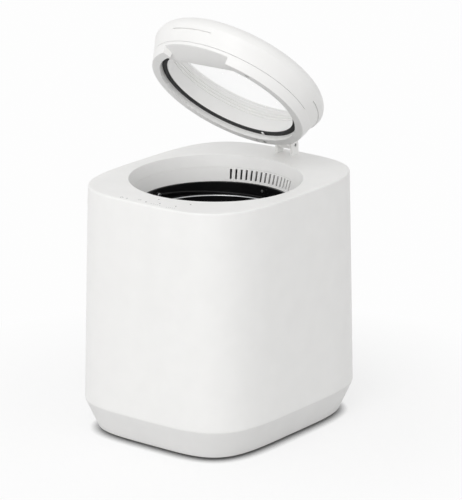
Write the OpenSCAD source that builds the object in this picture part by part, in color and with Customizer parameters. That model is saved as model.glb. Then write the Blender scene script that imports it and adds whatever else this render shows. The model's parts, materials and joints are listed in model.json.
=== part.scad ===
// Electric food waste composter: a squared body with a round mouth, a lift-out bucket with a stirrer,
// a geared drive below it, a pull-out odour filter and a fan at the rear, and a round lid with a window,
// shown standing open. Millimetres. Z is up, the front faces -Y, and the origin is on the ground below
// the middle of the case.

/* [Case] */
// Width of the top deck
case_w = 262; // [256:1:290]
// Depth of the top deck, front to rear
case_d = 318; // [310:1:345]
// Height of the deck above the ground
case_h = 329.5; // [325:0.5:360]
// Squareness of the deck's outline (2 is an ellipse)
corner_n = 3.6; // [3.2:0.1:5]
// Radius of the rounded edge around the deck
edge_r = 2.4; // [1.5:0.1:3]
// Thickness of the moulded walls
wall = 3; // [2.4:0.1:3.4]

/* [Base skirt] */
// Width at the crease, the widest line of the body
crease_w = 271.6; // [265:0.2:300]
// Depth at the crease
crease_d = 327.6; // [320:0.2:355]
// Squareness of the outline at the crease
crease_n = 4.1; // [3.4:0.1:5]
// Height of the crease above the ground
crease_z = 42.6; // [38:0.1:48]
// Width of the skirt's lower edge
foot_w = 237.4; // [230:0.2:262]
// Depth of the skirt's lower edge
foot_d = 293.2; // [285:0.2:318]
// Squareness of the lower edge
foot_n = 4.5; // [3.6:0.1:5]
// Thickness of the floor
floor_t = 3; // [2:0.5:4]
// Height of the open seam between body and skirt
seam = 0.3; // [0.2:0.1:0.6]
// How far the skirt's tongue reaches up into the body
tongue_h = 8; // [5:1:12]
// Number of vent slots in the floor
floor_slots = 9; // [5:2:11]

/* [Feet and base screws] */
// Radius of a rubber foot
foot_r = 11; // [8:0.5:14]
// Height of the rubber feet below the skirt
foot_gap = 3; // [2:0.5:5]
// Distance of a base screw from the skirt's lower edge
boss_in = 13; // [11:0.5:16]
// Radius of the boss around a base screw
boss_r = 6; // [5:0.5:7]
// Radius of a base screw
base_screw_r = 1.9; // [1.5:0.1:2.4]
// Radius of the recess for its head
screw_recess_r = 4; // [3.4:0.1:4.6]

/* [Mouth] */
// Distance of the mouth's centre from the case's centre, front to rear
mouth_y = -8.4; // [-12:0.2:-6]
// Radius of the dish at the deck
dish_r = 112.4; // [112:0.2:116]
// Depth of the dish
dish_depth = 15.5; // [14:0.5:18]
// Height of the collar's sloping wall
collar_h = 17.6; // [17:0.2:20]
// Number of vent slots in the collar
slot_count = 15; // [9:2:19]
// Angle from slot to slot
slot_pitch = 3.9; // [3.4:0.1:4.4]
// Width of a vent slot
slot_w = 2.75; // [2:0.05:3.2]
// Height of a vent slot
slot_h = 13; // [9:0.5:14]

/* [Panel] */
// Radius of an indicator
lens_r = 1.2; // [0.8:0.1:1.6]
// Height of the frame that holds the indicators' board
panel_h = 5; // [4:0.5:8]
// Width of the frame
panel_w = 112; // [100:1:120]
// Thickness of a circuit board
board_t = 1.6; // [1.2:0.1:2]

/* [Bucket] */
// Radius of the bucket's mouth inside
bucket_r = 98.5; // [97:0.1:98.8]
// Radius inside, below the step
step_r = 94.8; // [93:0.1:95]
// Radius inside, at the floor
bucket_floor_r = 90; // [86:0.5:92]
// Depth of the step below the rim
step_drop = 17; // [16:0.5:20]
// Depth of the bucket inside
bucket_depth = 160; // [150:1:162]
// Thickness of the bucket's wall
bucket_t = 1.5; // [1:0.1:1.8]
// Radius of the hub around the stirrer's shaft
hub_r = 14; // [12:0.5:15]
// Thickness of the bush's wall
bush_t = 3; // [2:0.5:4]

/* [Bail] */
// Thickness of the bail's wire
bail_wire = 2.8; // [2.2:0.1:3]
// Depth of the bail's pivots below the rim
pivot_drop = 7.4; // [6.5:0.1:8]
// Radius of a pivot rivet
rivet_r = 1.85; // [1.5:0.05:2.2]
// Radius of the eye at each end of the bail
eye_r = 4.2; // [3.6:0.1:4.6]
// Thickness of an eye
eye_t = 2; // [1.5:0.1:2.4]

/* [Stirrer] */
// Radius of the stirrer's shaft
shaft_r = 6; // [5:0.5:7]
// Reach of the blades from the axis
blade_reach = 84; // [60:1:86]
// Thickness of a blade
blade_t = 4; // [3:0.5:6]
// Number of low blades
blade_count = 3; // [2:1:4]
// Height of the hub above the bucket's floor
stirrer_h = 66; // [60:1:90]
// Outer radius of the claws that turn the stirrer
claw_r = 16; // [15:0.5:18]
// Height of a claw
claw_h = 7.5; // [6:0.5:8]
// Angle that a claw spans
claw_span = 56; // [40:1:57]

/* [Lid] */
// Radius of the lid's lower rim
rim_r = 107; // [105:0.1:107.2]
// Rise of the lower rim above the dish's lower edge
rim_gap = 0.5; // [0.3:0.1:1]
// Radius of the lid's cone at the top of its wall
lid_r = 119.2; // [117:0.1:121]
// Height of the parting groove above the rim
groove_h = 13.4; // [12:0.2:15]
// Height at which the top rounding starts
shoulder_h = 34; // [33:0.5:38]
// Radius of the top rounding
dome_r = 18.9; // [17:0.1:19]
// Thickness of the lid's shells
lid_t = 2.5; // [2:0.1:3]
// Radius of the window
window_r = 101.4; // [99:0.1:101.5]
// Thickness of the window
window_t = 3; // [2:0.5:3.5]
// Half of the angle of the finger notch at the front
notch_half = 30; // [20:1:36]
// Height of the finger notch
notch_h = 9; // [8:0.5:10]
// Distance of the grip plate's inner edge from the axis
grip_y = 75; // [72:1:84]
// Width of the sealing ring
gasket_w = 6.4; // [5:0.2:7]
// Thickness of the sealing ring
gasket_t = 3; // [2:0.5:4]
// Half of the angle of the rear cap
cap_half = 68; // [50:1:75]
// Angle of the closing magnet around the lid
magnet_angle = -140; // [-150:1:-130]
// Angle at which the lid stands open here
lid_open = 44.5; // [30:0.5:60]

/* [Hinge] */
// Distance of the hinge pin from the case's centre
hinge_y = 143.3; // [140:0.1:145]
// Height of the hinge pin above the deck
hinge_up = 13.5; // [12:0.5:15]
// Radius of the hinge pin
pin_r = 2.5; // [2:0.1:3]
// Width of the lid's arm
arm_w = 19.8; // [16:0.2:24]
// Radius of the arm's barrel around the pin
barrel_r = 6.5; // [5:0.1:7]
// Thickness of a hinge ear
ear_t = 4; // [3:0.5:6]
// Half of the depth of an ear, and the radius of its top
ear_half = 7; // [6:0.5:8]

/* [Filter drawer] */
// Width of the drawer's face
drawer_w = 144; // [120:1:148]
// Height of the drawer's face
drawer_h = 110; // [100:1:112]
// Height of the drawer's lower edge above the ground
drawer_z = 174; // [172:1:176]
// Thickness of the tray and of the bay
tray_t = 2; // [1.5:0.1:2.5]
// Height of the tray's walls
tray_h = 82; // [60:1:84]
// Height of the carbon cartridge
cartridge_h = 75; // [50:1:78]
// Width of the finger slot in the drawer's face
finger_w = 56; // [45:1:70]
// Height of the finger slot
finger_h = 10; // [9:0.5:13]

/* [Fan] */
// Side of the square fan
fan_side = 60; // [50:1:62]
// Thickness of the fan
fan_t = 15; // [12:1:16]
// Height of the fan's axis above the ground
fan_z = 128; // [122:1:136]
// Number of fan blades
fan_blades = 7; // [5:1:9]
// Depth of the duct in front of the fan
duct_depth = 30; // [24:1:32]
// Number of slots in the exhaust grille
grille_count = 9; // [5:2:11]
// Height of the grille's slots
grille_h = 48; // [30:1:50]

/* [Power inlet] */
// Distance of the inlet from the middle of the case
inlet_x = 54; // [46:1:58]
// Width of the inlet
inlet_w = 28; // [26:1:32]
// Height of the inlet
inlet_h = 20; // [18:1:24]
// Distance between the inlet's two pins
inlet_pins = 8.8; // [8.6:0.1:9]

/* [Circuit board] */
// Half of the board's width
board_x = 60; // [54:1:66]
// Height of the board
board_h = 84; // [76:1:88]

/* [Drive] */
// Height of the drive frame's plate above the ground
frame_z = 62; // [58:1:64]
// Thickness of the plate
frame_t = 3; // [2:0.5:4]
// Teeth of each small gear
pinion_teeth = 14; // [14:1:16]
// Teeth of the first idler's large gear
idler1_teeth = 56; // [48:1:58]
// Teeth of the second idler's large gear
idler2_teeth = 48; // [44:1:50]
// Teeth of the output gear
output_teeth = 56; // [50:1:58]
// Radius of the output shaft
output_r = 8; // [7:0.5:9]
// Radius of an idler's pin
idler_pin_r = 3; // [2.5:0.1:3.5]
// Outer radius of an output bearing
bearing_r = 13; // [11:0.5:14]
// Thickness of an output bearing
bearing_t = 5; // [4:0.5:6]
// Thickness of the gearbox's side walls
gearbox_wall = 2.5; // [2:0.1:3]
// Radius of the motor
motor_r = 29; // [26:1:32]
// Length of the motor
motor_h = 44; // [40:1:48]
// Radius of the motor's shaft
motor_shaft_r = 2.5; // [2:0.1:3]

/* [Fits] */
// Gap of a running fit, on the radius
running = 0.05; // [0.02:0.01:0.1]
// Gap between neighbouring bodies
clearance = 0.4; // [0.3:0.1:0.6]
// Gap between a slide and its runner
slide_gap = 0.3; // [0.2:0.1:0.5]

/* [Hidden] */

$fn = 96;
// facets of the large rings around the mouth
ring_fn = 180;
// points around each squared outline
outline_steps = 144;
// how far a cutting shape reaches past what it cuts
cut = 1;

white = [0.95, 0.95, 0.94];
skirt_white = [0.86, 0.86, 0.85];
black = [0.07, 0.07, 0.08];
dark = [0.2, 0.21, 0.22];
steel = [0.72, 0.73, 0.75];
copper = [0.75, 0.45, 0.25];
board_green = [0.1, 0.35, 0.2];
felt = [0.85, 0.84, 0.78];
gear_white = [0.9, 0.88, 0.8];
clear = [0.85, 0.9, 0.92, 0.35];

// heights of the case and mouth, from the top down
deck_z = case_h - wall;
lip_z = case_h - edge_r;
throat_z = case_h - dish_depth;
throat_r = dish_r - dish_depth / 3;
bucket_z = throat_z - collar_h;
collar_r = throat_r - collar_h * 0.284;
step_z = bucket_z - step_drop;
bucket_floor_z = bucket_z - bucket_depth;
pivot_z = bucket_z - pivot_drop;
floor_z = foot_gap + floor_t;
lid_z = throat_z + rim_gap;
hinge_z = case_h + hinge_up;
tongue_t = 2;
tongue_z = crease_z + tongue_h;

// feet and base screws
boss_xy = diagonal(skirt_at(foot_gap, boss_in));
boss_top = tongue_z + 10;
head_t = 3;
head_z = foot_gap + 9;
foot_xy = boss_xy - [foot_r + screw_recess_r + 11, boss_r + 0.5];

// bucket's rim and hub
flange_r = collar_r - clearance - 0.1;
flange_t = 1.5;
bush_r = shaft_r + bush_t;
seal_r = bush_r + 1;
seal_t = 3.7;
hub_low = bucket_floor_z - 9.4;
hub_top = bucket_floor_z + 13.6;

// bail and its rivets
eye_x = bucket_r - 1.4;
rivet_head_t = 1.8;
bail_r = (step_r + bucket_r) / 2 - 0.4;
bail_drop = asin((pivot_z - step_z - bail_wire / 2 - clearance) / bail_r);

// heated well around the bucket
well_t = 1.5;
well_gap = 1.3;
well_r = bucket_r + bucket_t + clearance;
well_floor_z = bucket_floor_z - bucket_t - well_gap;
well_rim_z = bucket_z - flange_t - 0.3;
well_shoulder_z = step_z - 5;
well_flange_z = bucket_z - 6.4;
well_flange_r = well_r + well_t + 10;
well_hole_r = hub_r + 10;
band_t = 2;
band_z = [well_floor_z + 14, well_floor_z + 54];
insulation_r = well_r + well_t + 7;
insulation_z = [bucket_floor_z + 6, well_flange_z - wall];
thermostat_angle = 215;

// claws that join stirrer and drive
driven_z = hub_low - 2.5;
driven_t = 3.5;
driver_t = 3;
claw_gap = 0.5;
claw_w = 6.4;
driver_z = driven_z - driven_t - claw_gap - claw_h - driver_t;

// gear train: each stage is [module, height of its lower face, thickness]
gearbox_z = frame_z + frame_t;
stage_a = [1, gearbox_z + 5.5, 6];
stage_b = [1.25, gearbox_z + 14, 8];
stage_c = [1.5, gearbox_z + 25, 11];
// directions from each axis to the next
angle_2 = 20;
angle_1 = 115;
angle_m = 190;
axis_out = [0, mouth_y];
axis_2 = turn_to(axis_out, angle_2, centre_gap(stage_c, output_teeth));
axis_1 = turn_to(axis_2, angle_1, centre_gap(stage_b, idler2_teeth));
axis_m = turn_to(axis_1, angle_m, centre_gap(stage_a, idler1_teeth));
pressure = 20;
addendum = 0.8;
dedendum = 1.1;
backlash = 0.35;

// gearbox around the gears
gear_room = 4;
gearbox_floor = 3;
gearbox_top = stage_c[1] + stage_c[2] + 3;
gearbox_x = [axis_out[0] - pitch_r(stage_c, output_teeth) - gear_room,
    axis_2[0] + pitch_r(stage_b, idler2_teeth) + gear_room];
gearbox_y = [axis_out[1] - pitch_r(stage_c, output_teeth) - gear_room,
    axis_1[1] + pitch_r(stage_a, idler1_teeth) + gear_room];
gearbox_corner = 8;
gearbox_screw_r = 1.5;
gearbox_screw_xy = [for (x = gearbox_x + [5, -5], y = gearbox_y + [5, -5]) [x, y]];
motor_hole_r = 9;
motor_z = frame_z - motor_h;
motor_wall = 2;

// drive frame and the posts of the well
frame_x = case_w / 2 - 39;
frame_y = [-case_d / 2 + 64, case_d / 2 - 9];
leg_r = 6;
leg_xy = [for (x = [-1, 1], y = frame_y + [15, -52]) [x * (frame_x - 12), y]];
post_r = 6;
post_ring = bucket_floor_r - 6;
// each post: angle, and the height that it stands on
post_places = [[60, gearbox_top + wall], [150, gearbox_z], [240, gearbox_z], [340, gearbox_top + wall]];

// rear assembly
drawer_rear = rear_at(drawer_z + drawer_h);
bay_y = [mouth_y + insulation_r + 6, drawer_rear - 7.8];
bay_in = drawer_w / 2 - 4;
bay_z = [drawer_z + 2, drawer_z + drawer_h - 2];
tray_back = bay_y[1] + 1;
fan_back = rear_at(fan_z) - 6.1;
duct_y = [fan_back - fan_t - duct_depth, fan_back - fan_t];
duct_half = fan_side / 2 + 4;
fan_hub_r = 12;
fan_pin_r = 1.5;
inlet_z = gearbox_z + 15;
inlet_y = rear_at(inlet_z) - 2.9;
inlet_depth = 12;
finger_z = drawer_z + drawer_h - 8 - finger_h;

// board at the front
board_z = [floor_z + 8, floor_z + 8 + board_h];
board_y = 28.4 - skirt_at(board_z[0], 0)[1];
spacer_h = 4;

// panel below the deck: indicators as [distance from the mouth's axis, angle]
lens_places = [[124.5, -87], [138.6, -82.2], [142.2, -72.4], [129, -66]];
panel_low = [10 - panel_w / 2, 6.6 - case_d / 2];
panel_high = [10 + panel_w / 2, panel_low[1] + 31.5];

// lid and hinge
ear_x = arm_w / 2 + clearance;
groove_r = rim_r + groove_h * 0.33;
inner_r = rim_r - 11.1;
gasket_h = 6.4;
gasket_r = inner_r - gasket_w;
liner_low = gasket_h + gasket_t;
window_h = shoulder_h + 10;
liner_top = window_r - 3;
dome_end = 75;
cap_top = shoulder_h - 2.3;
groove_t = 0.3;
arm_y = mouth_y + inner_r;
arm_screw_r = 1.5;
arm_head_r = 2.8;
arm_screws = [[-6, arm_y + 6], [6, arm_y + 6]];

function power(v, p) = sign(v) * pow(abs(v), p);
function mix(a, b, t) = a + (b - a) * t;
function reversed(list) = [for (i = [len(list) - 1:-1:0]) list[i]];

// one squared outline [half width, half depth, squareness, height] as points
function outline(o) = [for (i = [0:outline_steps - 1]) let (a = 360 * i / outline_steps)
    [o[0] * power(cos(a), 2 / o[2]), o[1] * power(sin(a), 2 / o[2]), o[3]]];
// the point of an outline on its diagonal
function diagonal(o) = [o[0] * pow(0.5, 1 / o[2]), o[1] * pow(0.5, 1 / o[2])];
// the body's outline at a height, moved in by inset
function body_at(z, inset) = let (t = (z - crease_z) / (lip_z - crease_z))
    [mix(crease_w / 2, case_w / 2 + edge_r, t) - inset, mix(crease_d / 2, case_d / 2 + edge_r, t) - inset,
    mix(crease_n, corner_n, t), z];
// how far the case reaches to the rear at a height
function rear_at(z) = body_at(z, 0)[1];
// the skirt's outline at a height, moved in by inset
function skirt_at(z, inset) = let (t = (z - foot_gap) / (crease_z - foot_gap))
    [mix(foot_w, crease_w, t) / 2 - inset, mix(foot_d, crease_d, t) / 2 - inset,
    mix(foot_n, crease_n, t), z];

// pitch radius of a gear of a stage, and the distance between such a gear and its small gear
function pitch_r(stage, teeth) = stage[0] * teeth / 2;
function centre_gap(stage, teeth) = pitch_r(stage, pinion_teeth + teeth);
function turn_to(from, angle, distance) = from + distance * [cos(angle), sin(angle)];
// turn of a small gear whose tooth space faces a tooth of the large gear at angle
function facing(angle) = angle + 180 + 180 / pinion_teeth;

// tooth outline of a gear: an involute flank from the base circle to the tip, as [radius, half angle]
function involute(rb, r) = let (a = acos(min(1, rb / r))) tan(a) * 180 / PI - a;
function flank(m, teeth) = let (r = m * teeth / 2, rb = r * cos(pressure), tip = r + addendum * m,
    root = r - dedendum * m, low = max(rb, root), half = 90 / teeth - backlash * 90 / (PI * r))
    concat(root < rb ? [[root, half + involute(rb, r)]] : [],
        [for (k = [0:4]) let (q = mix(low, tip, k / 4)) [q, half + involute(rb, r) - involute(rb, q)]]);

// outer radius of the well at a height below its shoulder
function well_out(z) = let (low = well_floor_z - well_t)
    mix(bucket_floor_r, step_r, (z - low) / (well_shoulder_z - low)) + bucket_t + well_gap + well_t;

// outer radius of the lid's cone at a height above the rim
function cone(h) = h < groove_h ? mix(rim_r, groove_r, h / groove_h)
    : mix(groove_r, lid_r, (h - groove_h) / (shoulder_h - groove_h));
// the lid's top rounding, moved in by inset
function dome(inset) = [for (a = [0:7.5:dome_end])
    [lid_r - dome_r + (dome_r - inset) * cos(a), shoulder_h + (dome_r - inset) * sin(a)]];
// inner radius of the liner at a height, without its fine steps
function inside(h) = mix(gasket_r + 0.2, liner_top - 1.8, (h - liner_low) / (window_h - liner_low));

// a solid through a stack of squared outlines
module loft(outlines) {
    n = outline_steps;
    top = len(outlines) - 1;
    points = [for (o = outlines) each outline(o)];
    sides = [for (k = [0:top - 1], i = [0:n - 1]) let (a = k * n + i, b = k * n + (i + 1) % n)
        each [[a, a + n, b + n], [a, b + n, b]]];
    polyhedron(points, concat([[for (i = [0:n - 1]) i]], sides, [[for (i = [n - 1:-1:0]) top * n + i]]),
        convexity = 6);
}

// a box between two corners
module block(low, high) {
    translate(low) cube(high - low);
}

module tube(r_out, r_in, z0, z1) {
    difference() {
        translate([0, 0, z0]) cylinder(r = r_out, h = z1 - z0);
        translate([0, 0, z0 - cut]) cylinder(r = r_in, h = z1 - z0 + 2 * cut);
    }
}

// a cylinder along Y that starts at its child's place
module rear_cylinder(r, h) {
    rotate([-90, 0, 0]) cylinder(r = r, h = h);
}

module at_mouth(angle = 0) {
    translate([0, mouth_y, 0]) rotate([0, 0, angle]) children();
}

// a ring around the mouth's axis from points [radius, height]
module turned(points) {
    at_mouth() rotate_extrude($fn = ring_fn) polygon(points);
}

// a part of such a ring, between two angles
module sector(points, from, to) {
    at_mouth(from) rotate_extrude(angle = to - from, $fn = ring_fn) polygon(points);
}

module at_corners(p) {
    for (sx = [-1, 1], sy = [-1, 1]) translate([sx * p[0], sy * p[1], 0]) children();
}

module at_each(places) {
    for (p = places) translate([p[0], p[1], 0]) children();
}

// case

module deck_openings() {
    at_mouth() translate([0, 0, case_h - 2 * wall])
        cylinder(r = dish_r + wall / 2, h = 2 * wall + cut, $fn = ring_fn);
    for (s = [-1, 1]) translate([s * (ear_x + ear_t / 2), hinge_y, case_h])
        cube([ear_t + 0.1, 2 * ear_half + 0.1, 4 * wall], center = true);
    for (p = lens_places) at_mouth(p[1]) translate([p[0], 0, case_h - 2 * wall])
        cylinder(r = lens_r, h = 3 * wall, $fn = 24);
}

module rear_openings() {
    inner_y = bay_y[1] - 20;
    block([-drawer_w / 2 - clearance, inner_y, drawer_z - clearance],
        [drawer_w / 2 + clearance, crease_d, drawer_z + drawer_h + clearance]);
    for (i = [0:grille_count - 1]) translate([(i - (grille_count - 1) / 2) * 6, 0, 0])
        block([-1.5, inner_y, fan_z - grille_h / 2], [1.5, crease_d, fan_z + grille_h / 2]);
    block([inlet_x - inlet_w / 2 - 0.2, inner_y, inlet_z - inlet_h / 2 - 0.2],
        [inlet_x + inlet_w / 2 + 0.2, crease_d, inlet_z + inlet_h / 2 + 0.2]);
}

// a boss for each base screw, with a rib above the tongue that ties it to the wall
module case_bosses() {
    corner = diagonal(body_at(tongue_z, wall / 2));
    reach = norm(corner - boss_xy);
    at = atan2(corner[1] - boss_xy[1], corner[0] - boss_xy[0]);
    for (sx = [0, 1], sy = [0, 1]) mirror([sx, 0, 0]) mirror([0, sy, 0])
        translate([boss_xy[0], boss_xy[1], 0]) difference() {
            union() {
                translate([0, 0, crease_z]) cylinder(r = boss_r, h = boss_top - crease_z);
                rotate([0, 0, at]) block([0, -1.5, tongue_z + clearance], [reach, 1.5, boss_top - 2]);
            }
            translate([0, 0, crease_z - cut]) cylinder(r = base_screw_r, h = boss_top - crease_z - 2);
        }
}

module body_shell() color(white) {
    difference() {
        loft(concat([for (k = [0:2]) body_at(mix(crease_z + seam, lip_z, k / 2), 0)],
            [for (a = [30, 60, 90]) [case_w / 2 + edge_r * cos(a), case_d / 2 + edge_r * cos(a), corner_n,
                lip_z + edge_r * sin(a)]]));
        loft([body_at(crease_z - cut, wall), body_at((crease_z + case_h) / 2, wall), body_at(deck_z, wall)]);
        deck_openings();
        rear_openings();
    }
    turned([[dish_r, case_h], [throat_r, throat_z], [throat_r + wall, throat_z], [dish_r + wall, deck_z],
        [dish_r + wall, case_h]]);
    case_bosses();
}

module base_skirt() color(skirt_white) {
    tongue_in = wall + clearance;
    difference() {
        union() {
            difference() {
                loft([skirt_at(foot_gap, 0), skirt_at(crease_z, 0)]);
                loft([skirt_at(floor_z, wall), skirt_at(crease_z + cut, wall)]);
            }
            difference() {
                loft([skirt_at(crease_z - 4, wall / 2), body_at(crease_z, tongue_in),
                    body_at(tongue_z, tongue_in)]);
                loft([skirt_at(crease_z - 4 - cut, wall + 1), body_at(crease_z, tongue_in + tongue_t),
                    body_at(tongue_z + cut, tongue_in + tongue_t)]);
            }
            at_corners(boss_xy) translate([0, 0, floor_z - cut])
                cylinder(r = boss_r, h = crease_z - floor_z + cut);
        }
        at_corners(boss_xy) {
            cylinder(r = screw_recess_r, h = head_z + head_t);
            cylinder(r = base_screw_r, h = crease_z + cut);
        }
        at_corners(foot_xy) cylinder(r = foot_r / 2, h = floor_z + cut);
        for (i = [0:floor_slots - 1]) translate([(i - (floor_slots - 1) / 2) * 12, 0, 0])
            block([-2.5, -30, 0], [2.5, 10, floor_z + cut]);
    }
}

module rubber_feet() color(dark) {
    at_corners(foot_xy) {
        cylinder(r = foot_r, h = foot_gap);
        cylinder(r = foot_r / 2, h = floor_z);
    }
}

module base_screws() color(steel) {
    at_corners(boss_xy) translate([0, 0, head_z]) difference() {
        union() {
            cylinder(r = screw_recess_r - clearance, h = head_t);
            cylinder(r = base_screw_r, h = boss_top - head_z - 6);
        }
        translate([0, 0, -cut]) cylinder(r = 1.6, h = 1.8 + cut, $fn = 6);
    }
}

// the white ring below the dish, with the vent slots at the rear
module vent_collar() color(white) {
    back_r = collar_r + 4;
    top = throat_z - 2;
    difference() {
        turned([[throat_r, throat_z], [collar_r, bucket_z], [collar_r, well_flange_z],
            [well_flange_r, well_flange_z], [well_flange_r, well_flange_z + wall],
            [back_r, well_flange_z + wall], [back_r, bucket_z], [throat_r + wall, throat_z]]);
        for (i = [0:slot_count - 1]) at_mouth(90 + (i - (slot_count - 1) / 2) * slot_pitch)
            block([collar_r - 5, -slot_w / 2, top - slot_h], [throat_r + 10, slot_w / 2, top]);
    }
}

// room for the dish in what lies beside it below the deck
module dish_room() {
    at_mouth() cylinder(r = dish_r + wall + clearance, h = 2 * case_h, $fn = ring_fn);
}

module panel_frame() color(dark) {
    rail = 2;
    difference() {
        block([panel_low[0], panel_low[1], deck_z - panel_h], [panel_high[0], panel_high[1], deck_z]);
        block([panel_low[0] + rail, panel_low[1] + rail, deck_z - panel_h - cut],
            [panel_high[0] - rail, panel_high[1] - rail, deck_z + cut]);
        dish_room();
    }
}

module panel_board() color(board_green) {
    top = deck_z - panel_h;
    difference() {
        block([panel_low[0], panel_low[1], top - board_t], [panel_high[0], panel_high[1], top]);
        dish_room();
    }
}

module indicator_lenses() color([0.35, 0.37, 0.38]) {
    for (p = lens_places) at_mouth(p[1]) translate([p[0], 0, deck_z - panel_h])
        cylinder(r = lens_r, h = wall + panel_h, $fn = 24);
}

module lid_sensor() color(dark) {
    at_mouth(magnet_angle) translate([dish_r + wall + 1, -7, deck_z - 5]) cube([5, 14, 5]);
}

// hinge

// a hinge ear on one side of the arm
module ear(side) {
    x = side > 0 ? ear_x : -ear_x - ear_t;
    block([x, hinge_y - ear_half, deck_z - 5], [x + ear_t, hinge_y + ear_half, hinge_z]);
    translate([x, hinge_y, hinge_z]) rotate([0, 90, 0]) cylinder(r = ear_half, h = ear_t);
}

// a cylinder on the hinge's axis, half as long on each side of the middle
module on_hinge(r, half) {
    translate([-half, hinge_y, hinge_z]) rotate([0, 90, 0]) cylinder(r = r, h = 2 * half);
}

module hinge_bracket() color(white) {
    difference() {
        union() {
            ear(-1);
            ear(1);
            block([-ear_x - ear_t, hinge_y - ear_half, deck_z - 5],
                [ear_x + ear_t, hinge_y + ear_half, deck_z]);
        }
        on_hinge(pin_r, 2 * ear_x);
    }
}

module hinge_pin() color(steel) {
    on_hinge(pin_r, ear_x + ear_t);
}

// well, heater and what carries them

module heater_well() color(steel) {
    gap = bucket_t + well_gap;
    out = gap + well_t;
    difference() {
        turned([[0, well_floor_z - well_t], [bucket_floor_r + out, well_floor_z - well_t],
            [step_r + out, well_shoulder_z], [well_r + well_t, well_shoulder_z + 2],
            [well_r + well_t, well_flange_z - wall], [well_flange_r, well_flange_z - wall],
            [well_flange_r, well_flange_z], [well_r + well_t, well_flange_z], [well_r + well_t, well_rim_z],
            [well_r, well_rim_z], [well_r, well_shoulder_z + 2], [step_r + gap, well_shoulder_z],
            [bucket_floor_r + gap, well_floor_z], [0, well_floor_z]]);
        at_mouth() translate([0, 0, well_floor_z - 2 * well_t]) cylinder(r = well_hole_r, h = 4 * well_t);
    }
}

module heater_band() color([0.6, 0.45, 0.3]) {
    r = [well_out(band_z[0]), well_out(band_z[1])];
    turned([[r[0], band_z[0]], [r[0] + band_t, band_z[0]], [r[1] + band_t, band_z[1]], [r[1], band_z[1]]]);
}

module well_insulation() color(felt) {
    z = insulation_z;
    difference() {
        at_mouth() tube(insulation_r, well_r + well_t + 0.3, z[0], z[1]);
        // the place of the thermostat
        at_mouth(thermostat_angle) block([0, -14, z[0] - cut], [2 * insulation_r, 14, z[0] + 30]);
    }
}

module thermostat() color(dark) {
    r = 8;
    z = band_z[0] + r;
    face = well_out(z + r) + band_t + 0.1;
    at_mouth(thermostat_angle) {
        translate([face, 0, z]) rotate([0, 90, 0]) cylinder(r = r, h = 5);
        block([face + 4, -3, z - 3], [face + 9, 3, z + 3]);
    }
}

module well_posts() color(steel) {
    for (p = post_places) at_mouth(p[0]) translate([post_ring, 0, p[1]])
        cylinder(r = post_r, h = well_floor_z - well_t - p[1]);
}

module drive_frame() color(steel) {
    difference() {
        block([-frame_x, frame_y[0], frame_z], [frame_x, frame_y[1], gearbox_z]);
        at_each([axis_m]) cylinder(r = motor_hole_r, h = gearbox_z + cut);
    }
    at_each(leg_xy) translate([0, 0, floor_z]) cylinder(r = leg_r, h = frame_z - floor_z);
}

// a flat plate with rounded corners over the whole gearbox, grown by a margin
module gearbox_plate(grown, height) {
    r = gearbox_corner + grown;
    x = gearbox_x + [gearbox_corner, -gearbox_corner];
    y = gearbox_y + [gearbox_corner, -gearbox_corner];
    linear_extrude(height = height) {
        for (px = x, py = y) translate([px, py]) circle(r = r);
        translate([x[0] - r, y[0]]) square([x[1] - x[0] + 2 * r, y[1] - y[0]]);
        translate([x[0], y[0] - r]) square([x[1] - x[0], y[1] - y[0] + 2 * r]);
    }
}

module gearbox_screw_holes() {
    at_each(gearbox_screw_xy) translate([0, 0, gearbox_z - cut])
        cylinder(r = gearbox_screw_r, h = gearbox_top + wall - gearbox_z + 2 * cut);
}

module gearbox_housing() color(dark) {
    h = gearbox_top - gearbox_z;
    difference() {
        union() {
            difference() {
                translate([0, 0, gearbox_z]) gearbox_plate(gearbox_wall, h);
                translate([0, 0, gearbox_z + gearbox_floor]) gearbox_plate(0, h);
            }
            translate([0, 0, gearbox_z]) {
                at_each([axis_out]) cylinder(r = bearing_r + 2, h = gearbox_floor + bearing_t);
                at_each([axis_1, axis_2]) cylinder(r = 2 * idler_pin_r, h = gearbox_floor + 2);
                at_each(gearbox_screw_xy) cylinder(r = 4, h = h);
            }
        }
        translate([0, 0, gearbox_z + gearbox_floor]) at_each([axis_out])
            cylinder(r = bearing_r, h = bearing_t + cut);
        translate([0, 0, gearbox_z + 1]) at_each([axis_1, axis_2]) cylinder(r = idler_pin_r, h = h);
        translate([0, 0, gearbox_z - cut]) at_each([axis_m])
            cylinder(r = motor_hole_r, h = gearbox_floor + 2 * cut);
        gearbox_screw_holes();
    }
}

module gearbox_cover() color(dark) {
    difference() {
        translate([0, 0, gearbox_top]) union() {
            gearbox_plate(gearbox_wall, wall);
            at_each([axis_out]) cylinder(r = bearing_r + 2, h = bearing_t + 1);
        }
        translate([0, 0, gearbox_top - cut]) {
            at_each([axis_out]) cylinder(r = output_r + 1, h = bearing_t + 3);
            at_each([axis_out]) cylinder(r = bearing_r, h = bearing_t + cut);
            at_each([axis_1, axis_2]) cylinder(r = idler_pin_r, h = 2 + cut);
        }
        gearbox_screw_holes();
    }
}

module gearbox_screws() color(steel) {
    at_each(gearbox_screw_xy) {
        translate([0, 0, gearbox_top - 20]) cylinder(r = gearbox_screw_r, h = 20 + wall);
        translate([0, 0, gearbox_top + wall]) cylinder(r = 2 * gearbox_screw_r, h = 2);
    }
}

module output_bearings() color(steel) {
    for (z = [gearbox_z + gearbox_floor, gearbox_top])
        at_each([axis_out]) tube(bearing_r, output_r + running, z, z + bearing_t);
}

module idler_pins() color(steel) {
    at_each([axis_1, axis_2]) translate([0, 0, gearbox_z + 1])
        cylinder(r = idler_pin_r, h = gearbox_top + 1 - gearbox_z);
}

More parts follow.
